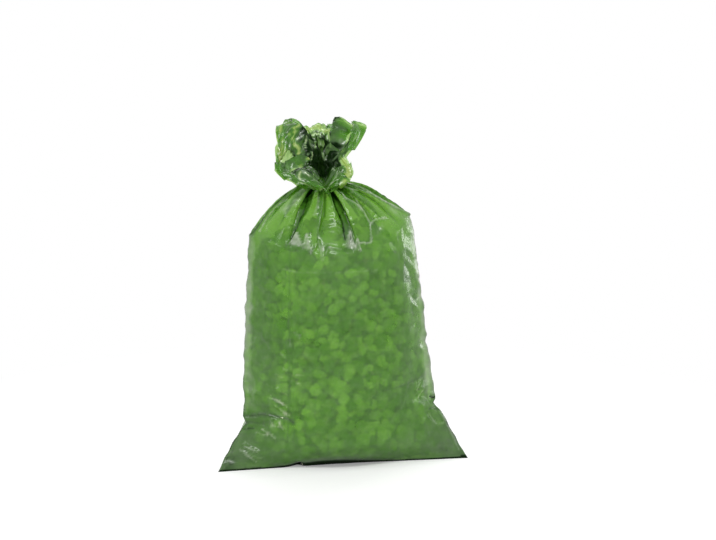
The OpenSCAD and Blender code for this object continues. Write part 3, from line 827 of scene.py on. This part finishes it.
def haze_of(f, wavy, scallop, ridge):
    """Where the film scatters light and where its sheen is painted: a streaked strip of painted sheen along
    each side crease, painted highlights on the ridges of the gathers, and a faint veil that is cloudy
    across the front, partly the film's own haziness and partly painted sheen"""
    z = f.points[..., 2]
    above_ears = ramp(z, 140, 40)
    # Painted sheen: a greyish streaked strip where the film hangs free of the chips
    sheen_band = np.clip((f.free - 0.67 + 0.16 * scallop) / 0.1, 0, 1) * f.wall * above_ears
    inner_line = tent((f.free - 0.7 + 0.16 * scallop) / 0.12) * above_ears * f.wall
    cloudy = field(f.points * np.array([1, 1, 1.8]), 38, seed=12)
    mottled = np.clip(field(f.points, 13, seed=17), 0, 1)
    # The veil: the film's faint haziness, with painted sheen lighter high in the middle of the front, and
    # lighter also round two lower heights
    veil = 0.03 + 0.06 * cloudy + 0.1 * bump(z, 510, 140) * bump(f.front_x, 10, 150)
    veil = veil + 0.07 * bump(z, 230, 110) + 0.07 * bump(z, 50, 60) + 0.08 * mottled
    veil = veil * np.clip(1 - 2.5 * f.up, 0, 1) * f.below_neck
    # Painted highlights on the ridges of the gathers
    return np.max([sheen_band * (0.48 + 0.4 * wavy), 0.3 * inner_line, 0.4 * ridge * f.gathered, veil], axis=0)


def crumpled_film():
    """The finished film, how thickly it lies on itself with painted light and shade, and where it is hazy
    or carries painted sheen and highlights
    """
    f = fine_film()
    move = uneven_wall(f)
    white, double_and_crease_shade = crease_front(f, move)
    white = paint_facet_highlights(f, white)
    for part in small_facets(f):
        move += part
    wavy, scallop = wave_free_film(f, eased(f, f.points + f.face * move[..., None]))

    points = f.points
    reach = np.hypot(points[..., 0] - NECK_SHIFT, points[..., 1])
    sharp = sharpness(points)
    ridge, furrow = (ramp(side * sharp, 0.05, 0.2) for side in (1, -1))
    elsewhere = layers_elsewhere(f, white, double_and_crease_shade)
    # Film lying on itself, with painted shade over 0 and a painted glow of one lit sheet under 0
    layers = np.maximum(layers_in_gathers(f, reach, furrow), elsewhere)
    layers = np.where(f.gathered > 0, layers, elsewhere)
    # Lighter colour at the front of the gathers, where the film is not marked dark
    lighter_in_front = 0.08 * f.in_front * f.gathered * np.clip(1 - 5 * layers, 0, 1)
    layers = np.clip(layers - lighter_in_front, -1, 1)
    # Haziness with painted sheen and painted highlights, less of it in the painted shade of folds
    haze = np.maximum(haze_of(f, wavy, scallop, ridge), white)
    haze = np.clip(haze * (1 - 0.7 * double_and_crease_shade), 0, 1)
    layers, haze = mark_collar(points, f.out, layers, haze)
    return points, layers, haze


# meshes

def grid_mesh(name, rows, **marks):
    """A tube of quads through the rows. The first row is the weld, whose two halves are one line.
    marks are numbers at the points, which the material reads"""
    count, columns = rows.shape[:2]
    half = columns // 2
    index = np.arange(count * columns).reshape(count, columns)
    index[0, half + 1:] = index[0, 1:half][::-1]
    faces = []
    for j in range(count - 1):
        for i in range(columns):
            k = (i + 1) % columns
            face = [index[j, i], index[j, k], index[j + 1, k], index[j + 1, i]]
            if len(set(face)) >= 3:
                faces.append(list(dict.fromkeys(face)))
    mesh = bpy.data.meshes.new(name)
    mesh.from_pydata((rows.reshape(-1, 3) * MM).tolist(), [], faces)
    for mark, values in marks.items():
        mesh.attributes.new(mark, "FLOAT", "POINT").data.foreach_set("value", values.reshape(-1))
    build = bmesh.new()
    build.from_mesh(mesh)
    bmesh.ops.remove_doubles(build, verts=build.verts, dist=1e-6)
    loose = [v for v in build.verts if not v.link_faces]
    bmesh.ops.delete(build, geom=loose, context="VERTS")
    build.to_mesh(mesh)
    build.free()
    for p in mesh.polygons:
        p.use_smooth = True
    return mesh


# The bunch's rings, as shares of the way from its middle to the film, half its height in mm, its folds and
# how much higher they make it
BUNCH_RINGS, BUNCH_HEIGHT, BUNCH_FOLDS, BUNCH_FOLDED = (0.15, 0.4, 0.7, 0.97, 0.7, 0.4, 0.15), 5, 18, 0.3


def neck_bunch(points):
    """The innermost folds of the gathered film: a dense plug, as wide as the neck leaves room for"""
    edge = points[np.abs(points[..., 2].mean(1) - NECK_HEIGHT).argmin()]
    middle_of_neck = edge.mean(0)
    count, widest = len(edge), max(BUNCH_RINGS)
    folds_up = 1 + BUNCH_FOLDED * sind(np.arange(count) * 360 / count * BUNCH_FOLDS)
    rows = []
    for k, share in enumerate(BUNCH_RINGS):
        side = 1 if k <= BUNCH_RINGS.index(widest) else -1
        row = middle_of_neck + (edge - middle_of_neck) * share
        row[:, 2] += side * BUNCH_HEIGHT * (1 - (share / widest) ** 2) * folds_up
        rows.append(row)
    ends = [middle_of_neck + [0, 0, side * BUNCH_HEIGHT] for side in (1, -1)]
    spots = np.concatenate(rows + [ends])
    top, bottom = len(spots) - 2, len(spots) - 1
    last = (len(rows) - 1) * count
    faces = []
    for i in range(count):
        k = (i + 1) % count
        faces += [(top, i, k), (bottom, last + k, last + i)]
        faces += [(at + i, at + count + i, at + count + k, at + k) for at in range(0, last, count)]
    mesh = bpy.data.meshes.new("neck_bunch")
    mesh.from_pydata((spots * MM).tolist(), [], faces)
    # The plug is as dark as the film gets: film many times over, with painted shade
    mesh.attributes.new("layers", "FLOAT", "POINT").data.foreach_set("value", np.ones(len(spots)))
    build = bmesh.new()
    build.from_mesh(mesh)
    bmesh.ops.recalc_face_normals(build, faces=build.faces)
    build.to_mesh(mesh)
    build.free()
    return mesh


def link(name, data):
    """A new object in the scene, with this mesh, lamp or camera"""
    piece = bpy.data.objects.new(name, data)
    bpy.context.scene.collection.objects.link(piece)
    return piece


# materials

def linear(text):
    """A colour written as sRGB hex, as the linear numbers that shaders take"""
    v = [int(text[i:i + 2], 16) / 255 for i in (1, 3, 5)]
    return [x / 12.92 if x <= 0.04045 else ((x + 0.055) / 1.055) ** 2.4 for x in v] + [1.0]


def add(tree, kind, settings=None, **links):
    """Adds a node. settings holds its properties and input values, by name or by an input's number, and
    links says what feeds its inputs: _0 is the first input, Base_Color the one with that name"""
    node = tree.nodes.new(kind)
    for key, value in (settings or {}).items():
        if isinstance(key, int) or key in node.inputs.keys():
            node.inputs[key].default_value = value
        else:
            setattr(node, key, value)
    for key, source in links.items():
        where = node.inputs[int(key[1:])] if key[0] == "_" else node.inputs[key.replace("_", " ")]
        tree.links.new(source, where)
    return node


# A mix node's sockets for two colours and for the one it makes
FIRST_COLOUR, SECOND_COLOUR, MIXED_COLOUR = 6, 7, 2


def blend(tree, first, second, share, first_link=None):
    """A colour between two, by a linked share. The first one may be linked too"""
    node = add(tree, "ShaderNodeMix", {"data_type": "RGBA", SECOND_COLOUR: second}, _0=share)
    if first_link is None:
        node.inputs[FIRST_COLOUR].default_value = first
    else:
        tree.links.new(first_link, node.inputs[FIRST_COLOUR])
    return node.outputs[MIXED_COLOUR]


def work_out(tree, operation, *values):
    """Works out a number from values, each one a number or a socket that gives one"""
    node = add(tree, "ShaderNodeMath", {"operation": operation})
    for where, value in zip(node.inputs, values):
        if isinstance(value, float):
            where.default_value = value
        else:
            tree.links.new(value, where)
    return node.outputs[0]


def noise_texture(tree, size, detail=2.0):
    """Noise in the object's own coordinates, with lumps of a size in metres"""
    where = add(tree, "ShaderNodeTexCoord").outputs["Object"]
    return add(tree, "ShaderNodeTexNoise", {"Scale": 1 / size, "Detail": detail}, Vector=where).outputs[0]


def between(tree, value, low, high, low_result, high_result):
    """Carries a number from one range to another, and stops at the ends of both"""
    ranges = {1: low, 2: high, 3: low_result, 4: high_result}
    return add(tree, "ShaderNodeMapRange", ranges, _0=value).outputs[0]


def new_material(name):
    """A material with an empty tree"""
    material = bpy.data.materials.new(name)
    material.use_nodes = True
    material.node_tree.nodes.clear()
    return material, material.node_tree


def finish_material(material, tree, shader):
    add(tree, "ShaderNodeOutputMaterial", Surface=shader.outputs[0])
    return material


# How wide the patterns in the materials are, in metres. The pores and the fibres are finer on the real
# pieces, and drawn this coarse so that they show
FINE_CRINKLE, SOFT_CRINKLE = 18 * MM, 42 * MM
FOAM_PORES, PAPER_FIBRES = 2.4 * MM, 1.1 * MM


def green_polythene_film():
    """Blown polythene film, tinted green: one layer over white is a light yellow-green, and film gathered
    many times over is nearly black-green. Its colour also holds painted light and shade: painted shade that
    makes it a matt black-green without reflection in the throat, in the deepest valleys and under the foot,
    a painted glow where one layer has light behind it, and a greyish painted sheen and white painted
    highlights, as where film hangs free at the side creases. Its surface is smooth, so that its small
    crinkles glint"""
    material, t = new_material("green_polythene_film")
    fine, soft = noise_texture(t, FINE_CRINKLE, 3.0), noise_texture(t, SOFT_CRINKLE)
    total = work_out(t, "MULTIPLY_ADD", fine, 0.4, soft)
    crinkle = add(t, "ShaderNodeBump", {"Strength": 0.35, "Distance": 2 * MM}, Height=total).outputs[0]
    layers, haze = (add(t, "ShaderNodeAttribute", {"attribute_name": name}).outputs["Fac"]
                    for name in ("layers", "haze"))
    # Darker where film lies many times over, and painted shade where the marks paint it dark
    gathered = blend(t, linear("#5c9b2d"), linear("#1f420f"), layers)
    # Painted glow: a brighter colour where one sheet has light behind it
    painted_backlight = between(t, layers, 0.0, -1.0, 0.0, 1.0)
    bright = blend(t, None, linear("#b3cf5e"), painted_backlight, gathered)
    # Painted sheen and painted highlights: a pale grey-green blended into the colour
    surface = blend(t, None, linear("#d3dcc8"), work_out(t, "MULTIPLY", haze, 0.9), bright)
    skin = add(t, "ShaderNodeBsdfPrincipled", {"Roughness": 0.2, "Specular IOR Level": 0.7, "IOR": 1.5},
               Normal=crinkle, Base_Color=surface)
    lit_through = blend(t, linear("#8fc04a"), linear("#35661c"), layers)
    glow = add(t, "ShaderNodeBsdfTranslucent", Color=lit_through)
    single = add(t, "ShaderNodeMixShader", {0: 0.25}, _1=skin.outputs[0], _2=glow.outputs[0])
    # A matt black-green with no reflection: painted shade in the throat, the deepest valleys and under the
    # foot, where film also lies many times over
    matt = {"Roughness": 0.35, "Specular IOR Level": 0.0, "IOR": 1.5, "Base Color": linear("#0c2206")}
    pressed_film_and_shade = add(t, "ShaderNodeBsdfPrincipled", matt, Normal=crinkle)
    dark = between(t, layers, 0.7, 1.0, 0.0, 0.94)
    body = add(t, "ShaderNodeMixShader", _0=dark, _1=single.outputs[0], _2=pressed_film_and_shade.outputs[0])
    passed = blend(t, linear("#c3e495"), linear("#4f7d33"), layers)
    clear = add(t, "ShaderNodeBsdfTransparent", Color=passed)
    thick = work_out(t, "MULTIPLY_ADD", work_out(t, "ABSOLUTE", layers), 0.48, 0.49)
    share = work_out(t, "MULTIPLY_ADD", haze, 0.2, thick)
    both = add(t, "ShaderNodeMixShader", _0=share, _1=clear.outputs[0], _2=body.outputs[0])
    return finish_material(material, t, both)


def foam_chips():
    """Loose fill of expanded foam, cut into blocks: matt and off-white, some of them darker and greener,
    with small pores"""
    material, t = new_material("loose_foam_chips")
    tone = add(t, "ShaderNodeAttribute", {"attribute_name": "chip_tone"}).outputs["Fac"]
    colour = blend(t, linear("#7da246"), linear("#f8ffd8"), tone)
    grain = noise_texture(t, FOAM_PORES)
    pores = add(t, "ShaderNodeBump", {"Strength": 0.3, "Distance": 1 * MM}, Height=grain).outputs[0]
    skin = add(t, "ShaderNodeBsdfPrincipled", {"Roughness": 0.75}, Normal=pores, Base_Color=colour)
    return finish_material(material, t, skin)


def tie_band():
    """Wire covered with waxed green paper: dull, with fibres that barely show"""
    material, t = new_material("paper_covered_wire_tie")
    fibre = noise_texture(t, PAPER_FIBRES)
    rough = add(t, "ShaderNodeBump", {"Strength": 0.2, "Distance": 0.5 * MM}, Height=fibre).outputs[0]
    dull_green = {"Base Color": linear("#3a5c2c"), "Roughness": 0.5}
    skin = add(t, "ShaderNodeBsdfPrincipled", dull_green, Normal=rough)
    return finish_material(material, t, skin)


# the chips

# How far a chip's corners are off those of a cube, as a share of its size, how high it is for its width,
# how much is cut off its edges in mm, and how many different ones there are
CORNERS_OFF, CHIP_HEIGHT, EDGE_CUT, CHIP_SHAPES = 0.2, 0.75, 4.5, 6


def chip_shapes():
    """A few uneven blocks, whose corners are cut off, as the shapes that the heap repeats"""
    shapes = []
    pick = np.random.RandomState(11)
    for n in range(CHIP_SHAPES):
        build = bmesh.new()
        bmesh.ops.create_cube(build, size=CHIP * MM)
        for v in build.verts:
            v.co += Vector(pick.uniform(-CORNERS_OFF, CORNERS_OFF, 3) * CHIP * MM)
            v.co.z *= CHIP_HEIGHT
        bmesh.ops.bevel(build, geom=build.edges[:], offset=EDGE_CUT * MM, segments=1, affect="EDGES")
        bmesh.ops.recalc_face_normals(build, faces=build.faces[:])
        mesh = bpy.data.meshes.new(f"chip_shape_{n}")
        build.to_mesh(mesh)
        build.free()
        shapes.append(mesh)
    return shapes


def heap_surface(name, depth):
    """The CAD heap, merged into one skin, reaching further into the ears and drawn in by a depth in mm"""
    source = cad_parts["chip_fill"]
    build = bmesh.new()
    build.from_mesh(source.data)
    build.transform(source.matrix_world)
    bmesh.ops.remove_doubles(build, verts=build.verts, dist=1e-5)
    build.normal_update()
    points = np.array([v.co for v in build.verts]) / MM - np.array([v.normal for v in build.verts]) * depth
    x, y, z = points.T
    side = np.where(x > middle(z), 1.0, -1.0)
    deep = contents_depth(y < 0, z)
    azimuth = np.degrees(np.arctan2(y / deep, (x - middle(z)) / contents_half(z))) % 360
    film_x, film_y, touch = ring(azimuth, np.clip(z, 0, FRONT_SHOULDER))
    ragged = CREASE_GAP * (1 + 0.5 * np.sin(z / 13 + side) * np.sin(z / 31))
    film_x, film_y = film_x - side * (ragged + depth) * (1 - touch), film_y * (1 - depth / deep)
    share = mix(CREASE_CHIPS, EAR_CHIPS, ramp(z, 140, -60)) * ramp(z, 600, -60) * (touch < 1)
    points[:, 0], points[:, 1] = mix(x, film_x, share), mix(y, film_y, share)
    points[:, 2] = np.maximum(z, depth)
    for v, point in zip(build.verts, points):
        v.co = Vector(point * MM)
    mesh = bpy.data.meshes.new(name)
    build.to_mesh(mesh)
    build.free()
    return mesh


# How deep the chips' middles and their core lie in the CAD heap, and how far apart the chips are, in mm
CHIPS_DEPTH, CORE_DEPTH, CHIP_SPACING = 7, 12, 19.5
SMALLEST_SCALE, LARGEST_SCALE = 0.88, 1.25
# How far a chip tilts out of the surface at most, and one turn, in radians
CHIP_TILT, WHOLE_TURN = 0.5, 6.283


def scatter_tree(shapes, material):
    """Geometry Nodes: chips lie all over a surface, each one turned, sized and tinted its own way"""
    tree = bpy.data.node_groups.new("chips_over_heap", "GeometryNodeTree")
    face = tree.interface
    face.new_socket("Geometry", in_out="INPUT", socket_type="NodeSocketGeometry")
    gap = face.new_socket("Chip spacing", in_out="INPUT", socket_type="NodeSocketFloat")
    big = face.new_socket("Largest scale", in_out="INPUT", socket_type="NodeSocketFloat")
    face.new_socket("Geometry", in_out="OUTPUT", socket_type="NodeSocketGeometry")
    given = tree.nodes.new("NodeGroupInput").outputs
    kinds = bpy.data.collections.new("chip_shapes")
    for n, shape in enumerate(shapes):
        kinds.objects.link(bpy.data.objects.new(f"chip_{n}", shape))
    source = add(tree, "GeometryNodeCollectionInfo",
                 {"Collection": kinds, "Separate Children": True, "Reset Children": True})

    scattered = {"distribute_method": "POISSON", "Seed": 5, "Density Max": 4000.0}
    spots = add(tree, "GeometryNodeDistributePointsOnFaces", scattered,
                Mesh=given["Geometry"], Distance_Min=given["Chip spacing"])
    angles = {0: (-CHIP_TILT, -CHIP_TILT, 0.0), 1: (CHIP_TILT, CHIP_TILT, WHOLE_TURN)}
    spin = add(tree, "FunctionNodeRandomValue", {"data_type": "FLOAT_VECTOR", "Seed": 3, **angles})
    turned = add(tree, "FunctionNodeRotateRotation", {"rotation_space": "LOCAL"},
                 _0=spots.outputs["Rotation"], _1=spin.outputs[0])
    size = add(tree, "FunctionNodeRandomValue", {"data_type": "FLOAT", "Seed": 9, 2: SMALLEST_SCALE},
               _3=given["Largest scale"])
    tone = add(tree, "FunctionNodeRandomValue", {"data_type": "FLOAT", "Seed": 14})
    mark = add(tree, "GeometryNodeStoreNamedAttribute",
               {"data_type": "FLOAT", "domain": "POINT", "Name": "chip_tone"},
               Geometry=spots.outputs["Points"], Value=tone.outputs[1])
    place = add(tree, "GeometryNodeInstanceOnPoints", {"Pick Instance": True}, Points=mark.outputs[0],
                Instance=source.outputs[0], Rotation=turned.outputs[0], Scale=size.outputs[1])
    real = add(tree, "GeometryNodeRealizeInstances", _0=place.outputs[0])
    paint = add(tree, "GeometryNodeSetMaterial", {"Material": material}, Geometry=real.outputs[0])
    add(tree, "NodeGroupOutput", _0=paint.outputs[0])
    return tree, gap.identifier, big.identifier


def settle(piece):
    """Turns what the modifiers make into the piece's own plain mesh"""
    bpy.context.view_layer.update()
    mesh = bpy.data.meshes.new_from_object(piece.evaluated_get(bpy.context.evaluated_depsgraph_get()))
    piece.modifiers.clear()
    piece.data = mesh
    return piece


# How far a chip's point moves at most each time, the height up to which faces are tried too, how far away
# the film is looked for, and how far inside it the chips and their core stay, in metres
PRESS_MOST, PRESS_FACES_BELOW, FILM_WITHIN = 16 * MM, 560 * MM, 60 * MM
CHIP_GAP, CORE_GAP = 1.5 * MM, 6 * MM


def press(piece, film, gap):
    """Moves what reaches the film, or further, back inside it, so that the film flattens the chips"""
    skin = BVHTree.FromObject(film, bpy.context.evaluated_depsgraph_get())
    points = piece.data.vertices

    def too_far(place, most):
        near, out, _, _ = skin.find_nearest(place, FILM_WITHIN)
        return (0, out) if near is None else (min((place - near).dot(out) + gap, most), out)

    for _ in range(2):
        for v in points:
            far, out = too_far(v.co, PRESS_MOST)
            if far > 0:
                v.co -= out * far
    for face in piece.data.polygons:
        if face.center.z < PRESS_FACES_BELOW:
            far, out = too_far(face.center, PRESS_MOST / 4)
            if far > 0:
                for k in face.vertices:
                    points[k].co -= out * far
    for v in points:
        v.co.z = max(v.co.z, gap)


def heap_of_chips(material, film):
    """The chips, pushed against the film, and the skin inside them that nobody looks through"""
    piece = link("chips", heap_surface("chips_surface", CHIPS_DEPTH))
    tree, gap, big = scatter_tree(chip_shapes(), material)
    nodes = piece.modifiers.new("chips_over_heap", "NODES")
    nodes.node_group = tree
    nodes[gap] = CHIP_SPACING * MM
    nodes[big] = LARGEST_SCALE
    settle(piece)
    press(piece, film, CHIP_GAP)
    core = link("chip_core", heap_surface("chip_core", CORE_DEPTH))
    press(core, film, CORE_GAP)
    core.data.materials.append(material)
    return piece, core


# the stage

# The camera: its azimuth from the front and height in degrees, its distance in metres, its lens and sensor
# in mm, and the point it looks at
AZ, EL, DISTANCE, LENS, SENSOR = -10, 9, 3.2, 59, 36
TARGET = Vector((0.068, 0, 0.5031))
LAMPS_TARGET = Vector((0, 0, 0.45))
# The softboxes: name, place and size in metres, and power
SOFTBOXES = [
    ("key_left", (-3.0, -0.4, 1.9), (0.5, 1.3), 12),
    ("fill_right", (3.0, 0.0, 1.5), (0.4, 1.6), 9),
    ("top_back", (0.3, 1.2, 2.6), (2.0, 1.2), 24),
    ("top_front", (-0.4, -2.0, 3.1), (1.5, 0.5), 42),
    ("edge_left", (-2.6, 2.2, 0.9), (0.3, 1.8), 12),
    ("edge_right", (2.6, 2.0, 0.9), (0.3, 1.8), 12),
]
WHITE, PAPER_GREY = (1, 1, 1, 1), (0.85, 0.85, 0.85, 1)
# How bright the studio is where it only lights the sack, and how much the paper under it glows
ROOM_LIGHT, PAPER_GLOW = 0.55, 0.24
# How far the floor reaches, and where it turns into the white studio, in metres from its middle
FLOOR_REACH, SWEEP_FROM, SWEEP_TO = 12, 0.5, 1.4


def face_towards(thing, direction):
    thing.rotation_euler = direction.to_track_quat("-Z", "Y").to_euler()


def camera():
    """The photograph's view, as estimated"""
    az, el = np.radians(AZ), np.radians(EL)
    ahead = Vector((-np.sin(az) * np.cos(el), np.cos(az) * np.cos(el), -np.sin(el)))
    data = bpy.data.cameras.new("camera")
    data.lens, data.sensor_width = LENS, SENSOR
    eye = link("camera", data)
    eye.location = TARGET - ahead * DISTANCE
    face_towards(eye, ahead)
    bpy.context.scene.camera = eye


def softbox(name, place, size, power):
    lamp = bpy.data.lights.new(name, "AREA")
    lamp.shape = "RECTANGLE"
    lamp.size, lamp.size_y = size
    lamp.energy = power
    box = link(name, lamp)
    box.location = place
    face_towards(box, LAMPS_TARGET - Vector(place))


def direct_rays(tree):
    """1 for rays that come from the camera, a reflection or clear film: they see the white studio"""
    rays = add(tree, "ShaderNodeLightPath").outputs
    mirrored = work_out(tree, "MAXIMUM", rays["Is Camera Ray"], rays["Is Glossy Ray"])
    return work_out(tree, "MAXIMUM", mirrored, rays["Is Transmission Ray"])


def studio():
    """A white studio with softboxes round the sack"""
    scene = bpy.context.scene
    scene.view_settings.view_transform = "Standard"
    scene.world = bpy.data.worlds.new("studio")
    scene.world.use_nodes = True
    t = scene.world.node_tree
    t.nodes.clear()
    room = add(t, "ShaderNodeBackground", {"Color": WHITE, "Strength": ROOM_LIGHT})
    white = add(t, "ShaderNodeBackground", {"Color": WHITE, "Strength": 1.0})
    seen = add(t, "ShaderNodeMixShader", _0=direct_rays(t), _1=room.outputs[0], _2=white.outputs[0])
    add(t, "ShaderNodeOutputWorld", Surface=seen.outputs[0])
    for name, place, size, power in SOFTBOXES:
        softbox(name, place, size, power)


def white_paper():
    """The studio's paper sweep: pale grey and glowing a little under the sack, plain white further off"""
    material, t = new_material("white_paper_sweep")
    where = add(t, "ShaderNodeTexCoord").outputs["Object"]
    away = add(t, "ShaderNodeVectorMath", {"operation": "LENGTH"}, _0=where).outputs["Value"]
    paper = add(t, "ShaderNodeBsdfDiffuse", {"Color": PAPER_GREY})
    glow = add(t, "ShaderNodeEmission", {"Color": WHITE, "Strength": PAPER_GLOW})
    near = add(t, "ShaderNodeAddShader", _0=paper.outputs[0], _1=glow.outputs[0])
    white = add(t, "ShaderNodeEmission", {"Color": WHITE, "Strength": 1.0})
    far_off = between(t, away, SWEEP_FROM, SWEEP_TO, 0.0, 1.0)
    plain = add(t, "ShaderNodeMixShader", _0=far_off, _1=near.outputs[0], _2=white.outputs[0])
    seen = add(t, "ShaderNodeMixShader", _0=direct_rays(t), _1=paper.outputs[0], _2=plain.outputs[0])
    return finish_material(material, t, seen)


def floor():
    mesh = bpy.data.meshes.new("floor")
    corners = [(x * FLOOR_REACH, y * FLOOR_REACH, 0) for x, y in ((-1, -1), (1, -1), (1, 1), (-1, 1))]
    mesh.from_pydata(corners, [], [(0, 1, 2, 3)])
    mesh.materials.append(white_paper())
    link("floor", mesh)


# putting it together

camera()
studio()
floor()

film_paint, chip_paint, tie_paint = green_polythene_film(), foam_chips(), tie_band()
points, layers, haze = crumpled_film()
film = link("film", grid_mesh("film", points, layers=layers, haze=haze))
film.data.materials.append(film_paint)
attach(film, "root")
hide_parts("bag_film")

bunch = link("neck_bunch", neck_bunch(points))
bunch.data.materials.append(film_paint)
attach(bunch, "root")

chips, core = heap_of_chips(chip_paint, film)
for piece in (chips, core):
    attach(piece, "root")
    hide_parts("chip_fill")

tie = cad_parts["neck_tie"]
tie.data.materials.clear()
tie.data.materials.append(tie_paint)
